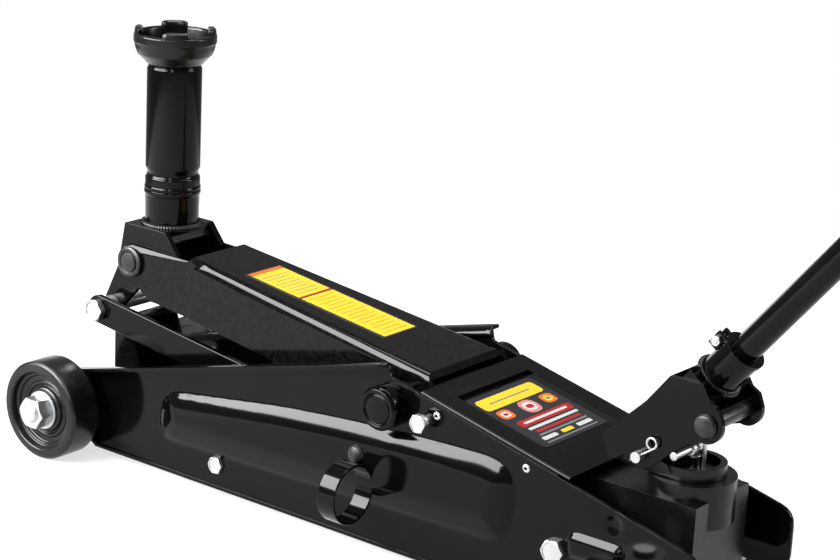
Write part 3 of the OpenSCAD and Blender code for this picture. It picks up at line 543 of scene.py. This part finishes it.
axle_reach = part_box("front_axle")[1].y / mm
hub_face = 101.5
fit(lathe("front_axle_bar", [(0, -hub_face), (8, -hub_face), (8, hub_face), (0, hub_face)],
          spot(axle.x, 0, axle.y), (0, 1, 0), 0.8, closed=False), steel, "front_axle")
nuts = bmesh.new()
for side in (-1, 1):
    out = (0, side, 0)
    hexagon(nuts, spot(axle.x, side * (hub_face + 2.5), axle.y), out, 24, 12.8, 7.4)
    thread(nuts, spot(axle.x, side * (hub_face - 2), axle.y), out, 7.9, axle_reach - hub_face + 2, 2)
fit(from_bmesh("front_axle_nuts", nuts, 30), zinc, "axle_nuts")
washers = bmesh.new()
for side in (-1, 1):
    washer(washers, spot(axle.x, side * (hub_face + 0.4), axle.y), (0, side, 0), 16, 8.1, 2)
fit(from_bmesh("front_axle_washers", washers, 30), zinc, "axle_washers")
machined("axle_spacers", enamel, 0.8)

# ---- front wheels ----
# Cast steel wheels with a rolled tread, a deep recess and two raised rings round the hub,
# painted satin black and running on the bar with a little grease.

wheel_paint = Finish("satin_black_wheel")
road = wheel_paint.grain(180, 8, 0.7)
grit = wheel_paint.grain(30, 5).between(0.5, 0.75)
# sharp rim edges lightened: edge wear and a painted edge highlight
rim_wear_and_highlight = wheel_paint.worn_and_highlit_edges(0.5)
tone = wheel_paint.mix(grit, (0.0015, 0.0015, 0.0017, 1), (0.0045, 0.0042, 0.004, 1))
tone = wheel_paint.mix(rim_wear_and_highlight, tone, (0.02, 0.02, 0.02, 1))
wheel_paint.surface(Base_Color=tone, Roughness=0.26 + grit * 0.2 + rim_wear_and_highlight * 0.1,
                    Specular_IOR_Level=0.25, Normal=wheel_paint.bump(road, 0.12, 0.0004))

wheel_gap = 15
wheel_section = [
    (8.1, 0), (13, 0), (14, 3), (32, 3), (34, 0), (39.5, 0), (41.5, 2), (41.5, 27.5), (39.5, 29.6),
    (33.5, 30), (32.5, 28.6), (31.5, 24.5), (29.3, 24), (28.6, 22), (24.5, 21), (23.8, 22.2), (21.5, 22.2),
    (20.8, 20.6), (19.5, 20.6), (18.6, 23), (16.8, 24), (8.1, 24)]
for side, hand in ((-1, "left"), (1, "right")):
    inner_face = spot(axle.x, side * (half_width + wheel_gap), axle.y)
    wheel = lathe(hand + "_front_wheel", wheel_section, inner_face, (0, side, 0), 0.7, 128)
    fit(wheel, wheel_paint, "front_wheel_" + hand)

# ---- cross rest and tie bolts ----
# A folded plate joins the side plates at the front and stops the carrier as it comes down.
# M8 and M10 bolts clamp the plates over tubes; their heads and nuts are bright zinc.

machined("front_rest", enamel, 1.2, 3)
machined("front_tie_tube", steel, 0.5)
# node, its middle in X and Z, radius, hexagon, what stands off the left and right plates
tie_bolts = [("front_tie_bolt", 117, 27, 4, 13, 0, 0), ("rear_tie_bolt", 446, 51, 5, 17, 2, 2),
             ("stop_bolt", 326, 119, 4, 13, 10, 2)]
for node, x, z, radius, across_flats, reach, nut_off in tie_bolts:
    shape = bmesh.new()
    shank = lathe("shank", [(0, -half_width - reach - 1), (radius, -half_width - reach - 1),
                            (radius, half_width + 2), (0, half_width + 2)], spot(x, 0, z), (0, 1, 0), 0, 40, False)
    shape.from_mesh(shank.data)
    hexagon(shape, spot(x, -half_width - reach, z), (0, -1, 0), across_flats, 6, 0, 0.6, 0.35)
    nut_face = half_width + nut_off
    hexagon(shape, spot(x, nut_face, z), (0, 1, 0), across_flats, 7, radius - 0.4, 0.3)
    thread(shape, spot(x, nut_face - 1, z), (0, 1, 0), radius - 0.1, 10 if nut_off or radius == 4 else 9, 1.25)
    if node == "rear_tie_bolt":
        for side in (-1, 1):
            washer(shape, spot(x, side * half_width, z), (0, side, 0), 11, radius, 2)
    fit(from_bmesh(node + "_finished", shape, 30), zinc, node)

# ---- pump block and hydraulics ----
# A sand-cast block holds the pump barrel; the oil tank is a rolled tube round the ram's
# cylinder, and the ground ram pushes the arm through its slotted head.

casting = Finish("painted_casting")
sand = casting.grain(650, 6, 0.7)
lumps = casting.grain(70, 3)
grime = casting.grain(24, 6).between(0.5, 0.78)
cast_tone = casting.mix(grime, (0.0012, 0.0012, 0.0014, 1), (0.004, 0.0036, 0.0033, 1))
casting.surface(Base_Color=cast_tone, Roughness=0.18 + grime * 0.2 + sand * 0.1, Specular_IOR_Level=0.2,
                Normal=casting.bump(sand * 0.6 + lumps, 0.12, 0.0006))
ground = Finish("ground_ram")
lap = ground.grain(1800, 3, 0.5, (0.05, 1, 1))
ram_tone = ground.mix(ground.grain(30, 4), (0.52, 0.48, 0.45, 1), (0.40, 0.36, 0.33, 1))
ground.surface(Base_Color=ram_tone, Metallic=1.0, Roughness=0.08 + lap * 0.12,
               Normal=ground.bump(lap, 0.05, 0.0001))
oxide = Finish("black_oxide_steel")
blued = oxide.grain(90, 5).between(0.4, 0.7)
oxide_tone = oxide.mix(blued, (0.008, 0.008, 0.009, 1), (0.022, 0.021, 0.020, 1))
# sharp edges lightened towards grey: edge wear and a painted edge highlight
oxide_tone = oxide.mix(oxide.worn_and_highlit_edges(0.3), oxide_tone, (0.07, 0.07, 0.07, 1))
oxide.surface(Base_Color=oxide_tone, Metallic=0.6, Roughness=0.28 + blued * 0.15,
              Normal=oxide.bump(oxide.grain(500, 3), 0.10, 0.0003))

machined("pump_block", casting, 2.5, 4)
machined("reservoir", enamel, 0.8)
machined("ram_cylinder", steel, 0.5)
machined("gland_nut", steel, 0.8)
machined("ram", ground, 0.8)
machined("filler_plug", oxide, 0.6)

# ---- pivot shaft and its caps ----
# The 20 mm shaft that the arm swings on ends in two turned caps, each with a raised rim
# and a shallow button in the middle, sprayed with the frame.

machined("pivot_shaft", steel, 0.8)
cap_section = [(0, 0.1), (17, 0.1), (17, 17), (15.2, 19.8), (12.8, 19.8), (12, 18.2), (11.2, 18.2),
               (10.6, 19.2), (0, 19.5)]
caps = bmesh.new()
for side in (-1, 1):
    cap = lathe("cap", cap_section, spot(arm_pivot.x, side * half_width, arm_pivot.y), (0, side, 0), 0.6, 96, False)
    caps.from_mesh(cap.data)
fit(from_bmesh("pivot_caps", caps, 30), enamel, "pivot_hubs")

# ---- lower links ----
# Two flat bars under the arm keep the saddle level. They turn on dark shoulder bolts at
# the rear and on one zinc bolt through the carrier at the front.

machined("link_bolts_rear", oxide, 0.4)
for hand in ("left", "right"):
    machined("lower_link_" + hand, enamel, 0.9, 3)
pin = Vector((joints["carrier_level"]["pos_m"][0] - post_x, joints["carrier_level"]["pos_m"][2])) / mm
link_end = pin + Vector((-25.5, -44.5))
front_bolt = bmesh.new()
front_bolt.from_mesh(lathe("rod", [(0, -47), (6, -47), (6, 47), (0, 47)],
                           spot(link_end.x, 0, link_end.y), (0, 1, 0), 0.5, 48, False).data)
for side in (-1, 1):
    out = (0, side, 0)
    hexagon(front_bolt, spot(link_end.x, side * 46.5, link_end.y), out, 17, 6.3, 0, 0.7, 0.4)
    washer(front_bolt, spot(link_end.x, side * 29.2, link_end.y), out, 9, 6, 11)
fit(from_bmesh("front_link_bolt", front_bolt, 30), zinc, "link_bolts_front")

# ---- lift arm ----
# One sheet folded into a channel that widens towards the pivot, with bends of 10 mm radius
# along both top edges. The lever that the ram pushes is welded inside it.

arm_turn = math.radians(7.5)
arm_up = Vector((math.sin(arm_turn), 0, math.cos(arm_turn)))
arm_along = Vector((math.cos(arm_turn), 0, -math.sin(arm_turn)))


def folded(node, name, up, radius, segments):
    """A node's own shape with bends of a real radius where its top turns down into its sides."""
    shape = bmesh.new()
    shape.from_mesh(frame["nodes"][node].data)
    bmesh.ops.remove_doubles(shape, verts=shape.verts, dist=2e-6)
    bmesh.ops.dissolve_limit(shape, angle_limit=math.radians(0.6), verts=shape.verts, edges=shape.edges)
    shape.normal_update()
    folds = []
    for edge in shape.edges:
        if len(edge.link_faces) == 2 and edge.calc_length() > 12 * mm:
            ups = [face.normal.dot(up) for face in edge.link_faces]
            outs = [abs(face.normal.y) for face in edge.link_faces
                    if face.calc_center_median().y * face.normal.y > 0]
            if max(ups) > 0.95 and max(outs, default=0) > 0.9:
                folds.append(edge)
    bmesh.ops.bevel(shape, geom=folds, offset=radius * mm, segments=segments, profile=0.5, affect="EDGES")
    return fit(rounded(from_bmesh(name, shape), 0.7, 2, 35), enamel, node)


folded("lift_arm", "lift_arm_channel", arm_up, 10, 10)
machined("arm_lever", enamel, 0.8)
machined("ram_pin", steel, 0.6)

# ---- arm label ----
# A printed film on the arm's top: two yellow fields under an orange band, with grey
# rules in place of any wording.


def print_ink(name, colour, sheen=0.32):
    """A printed colour, a little uneven, with fine dirt and scratches in its varnish."""
    ink = Finish(name)
    screen = ink.grain(700, 3)
    dirt = ink.grain(40, 7).between(0.55, 0.8)
    scratch = ink.grain(120, 8, 0.8, (1, 9, 1)).between(0.64, 0.68)
    darker = tuple(c * 0.86 for c in colour) + (1,)
    tone = ink.mix(screen, darker, (*colour, 1))
    tone = ink.mix(dirt * 0.35 + scratch * 0.2, tone, tuple(c * 0.45 for c in colour) + (1,))
    return ink.surface(Base_Color=tone, Roughness=sheen + dirt * 0.2 + scratch * 0.1,
                       Specular_IOR_Level=0.3, Normal=ink.bump(screen, 0.03, 0.0001))


yellow = print_ink("ink_yellow", (0.30, 0.215, 0.010))
orange = print_ink("ink_orange", (0.25, 0.055, 0.006))
red = print_ink("ink_red", (0.14, 0.005, 0.005))
rose = print_ink("ink_rose", (0.23, 0.08, 0.08))
white = print_ink("ink_white", (0.22, 0.22, 0.217))
grey = print_ink("ink_grey", (0.07, 0.07, 0.075))
film = print_ink("film_black", (0.008, 0.008, 0.009), 0.18)


def label(name, node, corner, along, across, thickness, patches):
    """A film with printed patches: each is (ink, middle along, middle across, length, width, corner radius)."""
    inks = [film] + sorted({patch[0] for patch in patches}, key=lambda ink: ink.block.name)
    normal = along.cross(across).normalized()
    shape = bmesh.new()
    for level, (ink, u, v, length, width, radius) in enumerate(patches):
        points = [(u - length / 2, v - width / 2), (u + length / 2, v - width / 2),
                  (u + length / 2, v + width / 2), (u - length / 2, v + width / 2)]
        low, top = (-thickness, 0) if ink is film else (-0.05, 0.03 + 0.012 * level / len(patches))
        rings = []
        for lift in (low, top):
            rings.append([shape.verts.new(corner + along * a * mm + across * b * mm + normal * lift * mm)
                          for a, b in eased(points, radius, 5)])
        faces = [shape.faces.new(rings[1]), shape.faces.new(rings[0][::-1])]
        for k in range(len(rings[0])):
            j = (k + 1) % len(rings[0])
            faces.append(shape.faces.new((rings[0][k], rings[0][j], rings[1][j], rings[1][k])))
        for face in faces:
            face.material_index = inks.index(ink)
    piece = from_bmesh(name, shape, 20)
    for ink in inks:
        piece.data.materials.append(ink.block)
    return fit(piece, film, node)


label_length, label_half = 147, 21
rules = [(film, label_length / 2, 0, label_length, 2 * label_half, 1.5),
         (yellow, 31, 0, 50, 38, 0.6), (yellow, 102, 0, 86, 38, 0.6),
         (orange, 3.4, 0, 4.4, 38, 0.4), (red, 57.5, 0, 2.2, 38, 0.3)]
rules += [(grey, 14 + 5.2 * k, random.Random(k).uniform(-3, 0), 0.9, 30 - 4 * (k % 3), 0.3) for k in range(8)]
rules += [(orange, 64 + 5.4 * k, random.Random(k + 9).uniform(-2, 1), 0.8, 29 - 5 * (k % 2), 0.3)
          for k in range(15)]
pivot = spot(arm_pivot.x, 0, arm_pivot.y)
label_start, label_lift = -194, 26.3
label_corner = pivot + arm_along * label_start * mm + arm_up * label_lift * mm
label("arm_top_label", "arm_label", label_corner, arm_along, Vector((0, 1, 0)), 0.3, rules)

# ---- carrier and its pin ----
# A folded bracket hangs inside the arm's nose on one thick pin, whose collared ends show,
# and carries the post, which is welded to it with a rippled bead.

machined("saddle_carrier", enamel, 1.4, 3)
ends = bmesh.new()
ends.from_mesh(lathe("rod", [(0, -38), (8, -38), (8, 38), (0, 38)], spot(pin.x, 0, pin.y), (0, 1, 0),
                     0.8, 48, False).data)
for side in (-1, 1):
    collar = [(7.9, 34), (13, 34), (13, 36.6), (11.4, 37.4), (9.6, 37.4), (9.2, 36.4), (7.9, 36.4)]
    ends.from_mesh(lathe("collar", collar, spot(pin.x, 0, pin.y), (0, side, 0), 0.4, 64).data)
fit(from_bmesh("carrier_pin_ends", ends, 30), oxide, "carrier_pin")


def weld_bead(name, centre, radius, size, body, ripples=64, axis=(0, 0, 1)):
    """A fillet weld run round a tube, laid down in overlapping ripples."""
    lean = Vector((0, 0, 1)).rotation_difference(Vector(axis))
    shape = bmesh.new()
    rings = []
    steps = ripples * 6
    for k in range(steps):
        a = math.tau * k / steps
        swell = 1 + 0.16 * abs(math.sin(ripples * a / 2)) + 0.08 * noise.noise(Vector((9 * a, radius, 0)))
        ring = []
        for j in range(9):
            b = math.pi * j / 8 - math.pi / 4
            reach = radius + size * 0.15 + size * swell * 0.75 * math.cos(b)
            offset = Vector((reach * math.cos(a), reach * math.sin(a), size * swell * 0.75 * math.sin(b)))
            ring.append(shape.verts.new(centre + lean @ offset * mm))
        rings.append(ring)
    for ring, following in zip(rings, rings[1:] + rings[:1]):
        for k in range(9):
            j = (k + 1) % 9
            shape.faces.new((ring[k], ring[j], following[j], following[k]))
    piece = from_bmesh(name, shape, 60)
    piece.data.materials.append(casting.block)
    bpy.context.scene.collection.objects.link(piece)
    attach(piece, body)
    return piece


weld_bead("post_weld", spot(0, 0, 193.2), 22.5, 3.4, "carrier")

# ---- lift post ----
# Two steel tubes: the lower one is welded to the carrier and has a rolled lip, and the
# loose extension sits in it on a collar below its necked-in shoulder.

post_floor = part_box("lower_post")[0].z / mm
post_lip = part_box("lower_post")[1].z / mm
lower_post = [(20.6, 0), (22.5, 0), (22.5, post_lip - post_floor - 4.4), (23.3, post_lip - post_floor - 3.6),
              (23.3, post_lip - post_floor), (20.6, post_lip - post_floor)]
fit(lathe("lower_post_tube", lower_post, spot(0, 0, post_floor), (0, 0, 1), 0.7, 128), enamel, "lower_post")
extension_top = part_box("extension_post")[1].z / mm
extension_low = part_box("extension_post")[0].z / mm
tube = [(15.5, extension_low), (20.5, extension_low), (20.5, post_lip + 0.2), (23.2, post_lip + 0.2),
        (23.2, post_lip + 2.6), (22.6, post_lip + 3.4), (22.6, post_lip + 10.4), (21.4, post_lip + 11.6),
        (20.9, post_lip + 13.5), (21.4, post_lip + 15.6), (22.5, post_lip + 18.5), (22.5, extension_top - 2.4),
        (21.6, extension_top - 1.4), (21.6, extension_top), (15.1, extension_top),
        (15.1, extension_top - 40), (15.5, extension_top - 41)]
fit(lathe("extension_tube", tube, spot(0, 0, 0), (0, 0, 1), 0.9, 128), enamel, "extension_post")

# ---- saddle ----
# A small iron casting: a deep dish with a thick rim, four low lugs that grip the vehicle's
# pad, and eight low ribs on its floor. It turns on a stem in the extension.

saddle_low = joints["saddle_turn"]["pos_m"][2] / mm
bowl = [(0, 0), (22.3, 0), (23.4, 1.2), (25.5, 3.6), (30.6, 8.6), (32.4, 13), (33.2, 17.5), (34, 18.5),
        (34, 24.4), (32.6, 25.4), (30, 25.4), (29, 24.2), (27.6, 15), (25.6, 11.4), (0, 11)]
dish = bmesh.new()
dish.from_mesh(lathe("bowl", bowl, spot(0, 0, saddle_low), (0, 0, 1), 0.8, 144, False).data)
dish.from_mesh(lathe("stem", [(0, -30), (15, -30), (15, 1), (0, 1)], spot(0, 0, saddle_low), (0, 0, 1),
                     0.8, 64, False).data)
for quarter in range(4):
    middle = math.radians(45 + 90 * quarter)
    rows = []
    for step in range(13):
        t = step / 12
        a = middle + math.radians(40) * (t - 0.5)
        out = Vector((math.cos(a), math.sin(a), 0))
        fall = 0.9 * (abs(2 * t - 1) ** 6)
        crest = 30 - 1.5 * fall
        section = [(27.0 + 2 * fall, 14), (26.4 + fall, 26), (27.2 + fall, crest - 1), (28.6, crest),
                   (31.6, crest), (33.0 - fall, 28.8 - fall), (33.6 - fall, 24), (33.0, 16)]
        rows.append([dish.verts.new(spot(0, 0, saddle_low + z) + out * r * mm) for r, z in section])
    for first, second in zip(rows, rows[1:]):
        for k in range(len(first)):
            j = (k + 1) % len(first)
            dish.faces.new((first[k], first[j], second[j], second[k]))
    dish.faces.new(rows[0][::-1])
    dish.faces.new(rows[-1])
for turn in range(8):
    a = math.radians(22.5 + 45 * turn)
    out, over = Vector((math.cos(a), math.sin(a), 0)), Vector((-math.sin(a), math.cos(a), 0))
    rib = [(8, -1.5), (25, -2.2), (25, 2.2), (8, 1.5)]
    low, high = ([dish.verts.new(spot(0, 0, saddle_low + z) + (out * r + over * s) * mm)
                  for r, s in eased(rib, 1.2, 2)] for z in (10.5, 12.2))
    dish.faces.new(high)
    for k in range(len(low)):
        j = (k + 1) % len(low)
        dish.faces.new((low[k], low[j], high[j], high[k]))
saddle = from_bmesh("saddle_casting", dish, 34)
fit(rounded(saddle, 0.4, 2, 40), casting, "saddle")

# ---- cover plate ----
# One 2 mm pressing over the pump, with side flanges screwed to the plates. Its middle is
# sunk 3 mm behind a soft shoulder, and the label sits in that recess.

cover_along = Vector((math.cos(cover_fall), 0, -math.sin(cover_fall)))
cover_up = Vector((math.sin(cover_fall), 0, math.cos(cover_fall)))
folded("cover_plate", "cover_pressing", cover_up, 1.9, 6)


def cover_spot(along, across, height):
    """A point in the cover's own frame, which starts behind the frame's highest point."""
    return spot(290, 0, 144) + (cover_along * along + Vector((0, across, 0)) + cover_up * height) * mm


screw_height = -9
screws = bmesh.new()
pan_head = [(0, -0.2), (3.5, -0.2), (3.5, 0.7), (2.7, 1.6), (1.7, 2.0), (1.4, 1.95), (1.3, 0.8), (0, 0.7)]
for side in (-1, 1):
    for along in (47.7, 132.2):
        out = (0, side, 0)
        seat = cover_spot(along, side * (half_width + 2), screw_height)
        screws.from_mesh(lathe("head", pan_head, seat, out, 0.15, 40, False).data)
        shank = [(0, -2), (1.95, -2), (1.95, 0), (0, 0)]
        screws.from_mesh(lathe("shank", shank, seat, out, 0.2, 24, False).data)
fit(from_bmesh("cover_pan_screws", screws, 30), zinc, "cover_screws")

# ---- cover label ----
# A printed film in the cover's recess: a yellow banner across the front, coloured badges
# behind it, and rows of plain blocks where a maker would put wording.

panel_length, panel_half = 76.45, 40.5
badges = [(film, panel_length / 2, 0, panel_length, 2 * panel_half, 4),
          (yellow, 12.5, -1, 15, 72, 4.5), (film, 12.5, -1, 9.5, 62, 2.5), (yellow, 12.5, -1, 7.6, 60, 2),
          (grey, 12.5, -1, 1.4, 50, 0.5),
          (orange, 29, -27, 12, 15, 5), (white, 29, -27, 7, 9, 3.2), (red, 29, -27, 3, 5, 1.4),
          (rose, 30, 2, 17, 19, 8), (white, 30, 2, 11, 13, 5.4), (red, 30, 2, 5, 8, 2.4),
          (orange, 29, 27, 12, 15, 5), (yellow, 29, 27, 7, 9, 3.2), (grey, 29, 27, 3, 5, 1.4),
          (red, 45, 2, 8, 66, 2), (white, 45, 2, 2.6, 54, 0.8),
          (white, 52.6, 2, 3, 62, 0.8), (red, 57.6, 2, 3, 56, 0.8), (grey, 62.2, 2, 2, 60, 0.6),
          (white, 67.2, -22, 4, 18, 1), (yellow, 67.2, 0, 4, 14, 1), (white, 67.2, 22, 4, 18, 1),
          (grey, 72.4, 0, 1.4, 64, 0.5)]
film_corner = cover_spot(52.7, 0, -0.7)
label("cover_panel_label", "cover_label", film_corner, cover_along, Vector((0, 1, 0)), 0.3, badges)

# ---- storage ring ----
# A short band rolled from 2 mm strip and welded to a lug, which one link bolt holds flat
# on the raised panel. The spare post's spigot is kept in it.

ring_centre = spot(265.5, -93, 55)
band = [(21.5, 0), (23.5, 0), (23.5, 16), (21.5, 16)]
holder = bmesh.new()
holder.from_mesh(lathe("band", band, ring_centre, (1, 0, 0), 0.7, 120).data)
lug = [(256.5, 55), (280.5, 55), (280.5, 84), (277, 87), (260, 87), (256.5, 84)]
rows = []
for y in (-69.5, -71.5):
    rows.append([holder.verts.new(spot(x, y, z)) for x, z in eased(lug, 1.6, 5)])
holder.faces.new(rows[0])
holder.faces.new(rows[1][::-1])
for k in range(len(rows[0])):
    j = (k + 1) % len(rows[0])
    holder.faces.new((rows[0][k], rows[0][j], rows[1][j], rows[1][k]))
fit(rounded(from_bmesh("storage_band", holder, 35), 0.4, 2), enamel, "storage_ring")

# ---- caster brackets ----
# A folded angle on each side plate, held by two bolts, with a hole for the caster's stem.

machined("caster_brackets", enamel, 1.2, 3)
bracket_bolt_height = 41
head_seat, nut_seat = 66.6, 59.4
shank = [(0, -head_seat), (2.9, -head_seat), (2.9, -57), (2.4, -56.4), (0, -56.4)]
bracket_heads = bmesh.new()
for side in (-1, 1):
    for x in (486, 514):
        head = spot(x, side * head_seat, bracket_bolt_height)
        nut = spot(x, side * nut_seat, bracket_bolt_height)
        hexagon(bracket_heads, head, (0, side, 0), 10, 3, 0, 0.4, 0.3 + x)
        hexagon(bracket_heads, nut, (0, -side, 0), 10, 3, 0, 0.4, 0.1 + x)
        middle = spot(x, 0, bracket_bolt_height)
        bracket_heads.from_mesh(lathe("shank", shank, middle, (0, -side, 0), 0.2, 32, False).data)
fit(from_bmesh("bracket_bolts_and_nuts", bracket_heads, 30), zinc, "bracket_bolts")

# ---- casters ----
# Pressed forks plated bright, riveted under the brackets on a ball race, each with a cast
# wheel on a rivet. The wheels have a narrow rim band and a raised hub.

caster_profile = [(3.1, -9), (7, -9), (8, -7), (16, -7), (17, -9), (20.4, -9), (22, -7.4), (22, 7.4),
                  (20.4, 9), (17, 9), (16, 7), (8, 7), (7, 9), (3.1, 9)]
hub_x, hub_across, hub_height = 511, 99.5, 22
for side, hand in ((-1, "left"), (1, "right")):
    machined("caster_fork_" + hand, zinc, 0.5, 3)
    hub = spot(hub_x, side * hub_across, hub_height)
    roller = lathe("caster_roller_" + hand, caster_profile, hub, (0, 1, 0), 0.9, 120)
    fit(roller, wheel_paint, "caster_wheel_" + hand)

# ---- turntable and release ----
# A cast ring turns in the pump block and carries the lever. Through it run the ground
# plunger with its spring, and the thin rod that opens the release valve.

machined("turntable", casting, 0.9, 3)
pump_axis = 516
sleeve = [(5.2, 101.5), (10, 101.5), (10, 108.5), (5.2, 108.5)]
fit(lathe("release_collar", sleeve, spot(pump_axis, 0, 0), (0, 0, 1), 0.6, 72), steel, "release_sleeve")
rod = [(0, 108.8), (1.5, 108.8), (1.5, 145), (3, 145), (3, 148), (0, 148)]
fit(lathe("release_pushrod", rod, spot(pump_axis + 8, 0, 0), (0, 0, 1), 0.3, 40, False), zinc, "release_rod")
piston = [(0, 78), (4.2, 78), (4.6, 78.8), (4.6, 126), (4.1, 126.5), (0, 126.5)]
fit(lathe("pump_piston", piston, spot(pump_axis, 0, 0), (0, 0, 1), 0.2, 64, False), ground, "plunger")
coil = bmesh.new()
rings = []
# the coil is drawn at its pressed length, so that the plunger never reaches it
spring_turns, coil_radius, wire_radius, spring_foot, spring_length = 7, 3.7, 0.6, 58.9, 12.9
for k in range(spring_turns * 36 + 1):
    a = math.tau * k / 36
    middle = spot(pump_axis, 0, spring_foot + spring_length * k / (spring_turns * 36))
    out = Vector((math.cos(a), math.sin(a), 0))
    rings.append([coil.verts.new(middle + (out * (coil_radius + wire_radius * math.cos(b))
                                           + Vector((0, 0, wire_radius * math.sin(b)))) * mm)
                  for b in (math.tau * j / 10 for j in range(10))])
for ring, following in zip(rings, rings[1:]):
    for k in range(10):
        j = (k + 1) % 10
        coil.faces.new((ring[k], ring[j], following[j], following[k]))
coil.faces.new(rings[0][::-1])
coil.faces.new(rings[-1])
fit(from_bmesh("pump_spring_coil", coil, 60), steel, "plunger_spring")

# ---- pump lever ----
# Two 4 mm cheeks folded from one plate, with the handle's socket welded between them. It
# rocks on a clevis bolt kept by a spring clip, and its roller presses the plunger.

machined("pump_lever", enamel, 1.1, 3)
handle_lean = math.radians(51)
handle_along = Vector((math.cos(handle_lean), 0, math.sin(handle_lean)))
handle_front = Vector((-math.sin(handle_lean), 0, math.cos(handle_lean)))


def handle_spot(along, front=0.0, across=0.0):
    """A point in the handle's own frame, which starts at its foot in the lever."""
    return spot(508, 0, 161) + (handle_along * along + handle_front * front + Vector((0, across, 0))) * mm


weld_bead("socket_weld", handle_spot(35.5), 15.2, 3.2, "lever", 44, handle_along)
roller_height = 132
pin_and_roller = [(0, -29), (3, -29), (3, -8), (5, -8), (5, 8), (3, 8), (3, 29), (0, 29)]
fit(lathe("plunger_roller_pin", pin_and_roller, spot(pump_axis, 0, roller_height), (0, 1, 0), 0.3, 56, False),
    steel, "plunger_roller")
machined("fulcrum_bolt", zinc, 0.5, 3)


def wire(name, path, radius, sides=14):
    """Round wire along a path of points in metres, with domed ends."""
    shape = bmesh.new()
    rings = []
    side = None
    for k, point in enumerate(path):
        before, after = path[max(k - 1, 0)], path[min(k + 1, len(path) - 1)]
        along = (after - before).normalized()
        if side is None:
            side = along.orthogonal().normalized()
        else:
            side = (side - along * side.dot(along)).normalized()
        other = along.cross(side)
        reach = radius * (0.55 if k in (0, len(path) - 1) else 1)
        rings.append([shape.verts.new(point + (side * math.cos(b) + other * math.sin(b)) * reach * mm)
                      for b in (math.tau * j / sides for j in range(sides))])
    for ring, following in zip(rings, rings[1:]):
        for k in range(sides):
            j = (k + 1) % sides
            shape.faces.new((ring[k], ring[j], following[j], following[k]))
    shape.faces.new(rings[0][::-1])
    shape.faces.new(rings[-1])
    return from_bmesh(name, shape, 60)


clip_tilt = math.radians(55)
clip_centre = spot(489, -32, 126)
clip_along = Vector((math.sin(clip_tilt), 0, math.cos(clip_tilt)))
clip_out = Vector((-clip_along.z, 0, clip_along.x))
clip_path = [clip_centre + clip_along * k * mm for k in (-8, -7.6, -4, 0, 4, 8, 11)]
loop_at, loop_radius = 15.5, 4
for k in range(1, 22):
    a = math.radians(-90 + 15 * k)
    clip_path.append(clip_centre + (clip_along * (loop_at + loop_radius * math.cos(a))
                                    + clip_out * loop_radius * (1 + math.sin(a))) * mm)
fit(wire("spring_clip", clip_path, 0.9), zinc, "hairpin")

bolt = bmesh.new()
lug_x, lug_z = 540, 161
shank = [(0, -29.5), (5.95, -29.5), (5.95, 30), (0, 30)]
bolt.from_mesh(lathe("shank", shank, spot(lug_x, 0, lug_z), (0, 1, 0), 0.4, 56, False).data)
dome = [(0, 29), (9, 29), (9, 30.6), (7.6, 32.4), (4.5, 33), (0, 33)]
bolt.from_mesh(lathe("dome", dome, spot(lug_x, 0, lug_z), (0, -1, 0), 0.5, 64, False).data)
hexagon(bolt, spot(lug_x, 29.1, lug_z), (0, 1, 0), 16, 5.8)
fit(from_bmesh("handle_pivot_bolt", bolt, 30), oxide, "handle_bolt")
clamp = bmesh.new()
clamp_along, clamp_front = 56, 18
shank = [(0, -9), (1.95, -9), (1.95, 9), (0, 9)]
clamp.from_mesh(lathe("shank", shank, handle_spot(clamp_along, clamp_front), (0, 1, 0), 0.3, 32, False).data)
for side in (-1, 1):
    hexagon(clamp, handle_spot(clamp_along, clamp_front, side * 6.1), (0, side, 0), 7, 2.8)
fit(from_bmesh("clamp_bolt_and_nut", clamp, 30), zinc, "clamp_bolt")

# ---- handle ----
# Two lengths of 21 mm tube, sprayed black, that join over a spigot and lock with a sprung
# button. A ribbed rubber sleeve covers the end.

tube_foot, tube_joint, grip_end = 38, 410, 745
lower = [(8.1, tube_foot), (10.5, tube_foot), (10.5, tube_joint), (8.1, tube_joint)]
fit(lathe("handle_tube_lower", lower, handle_spot(0), handle_along, 0.6, 96), enamel, "handle_lower")
spigot_foot = 370
upper = [(6, spigot_foot), (8, spigot_foot), (8, tube_joint + 0.1), (10.5, tube_joint + 0.1),
         (10.5, grip_end - 5), (6, grip_end - 5)]
fit(lathe("handle_tube_upper", upper, handle_spot(0), handle_along, 0.6, 96), enamel, "handle_upper")
button = [(0, 4.2), (3, 4.2), (3, 10.6), (2.2, 11.7), (0, 12)]
fit(lathe("joint_button_dome", button, handle_spot(390), (0, -1, 0), 0.4, 48, False), zinc, "joint_button")

rubber = Finish("black_grip_rubber")
moulding = rubber.grain(900, 4)
chalk = rubber.grain(30, 7).between(0.5, 0.8)
# sharp rib edges lightened: handling wear and a painted edge highlight
handled_and_highlit_edges = rubber.worn_and_highlit_edges(0.7)
rubber_colour = rubber.mix(chalk, (0.005, 0.005, 0.005, 1), (0.015, 0.0145, 0.014, 1))
rubber_colour = rubber.mix(handled_and_highlit_edges, rubber_colour, (0.03, 0.029, 0.028, 1))
rubber.surface(Base_Color=rubber_colour, Roughness=0.55 + chalk * 0.25 - handled_and_highlit_edges * 0.1,
               Normal=rubber.bump(moulding, 0.25, 0.0004))
grip_start = 625
grip_profile = [(10.6, grip_end - 5), (10.6, grip_start), (13.5, grip_start)]
for rib in range(10):
    start = grip_start + 4 + rib * 11
    grip_profile += [(15, start), (17, start + 1.5), (17, start + 5), (15, start + 6.5)]
grip_profile += [(17, grip_end - 3), (15.4, grip_end), (0, grip_end), (0, grip_end - 5)]


def finger_lines(turn, along):
    """Twelve shallow lines moulded along the grip."""
    return 0.988 if grip_start + 1 < along < grip_end - 1 and math.cos(12 * turn) > 0.86 else 1


fit(lathe("ribbed_grip", grip_profile, handle_spot(0), handle_along, 0.7, 96, fluted=finger_lines), rubber, "grip")
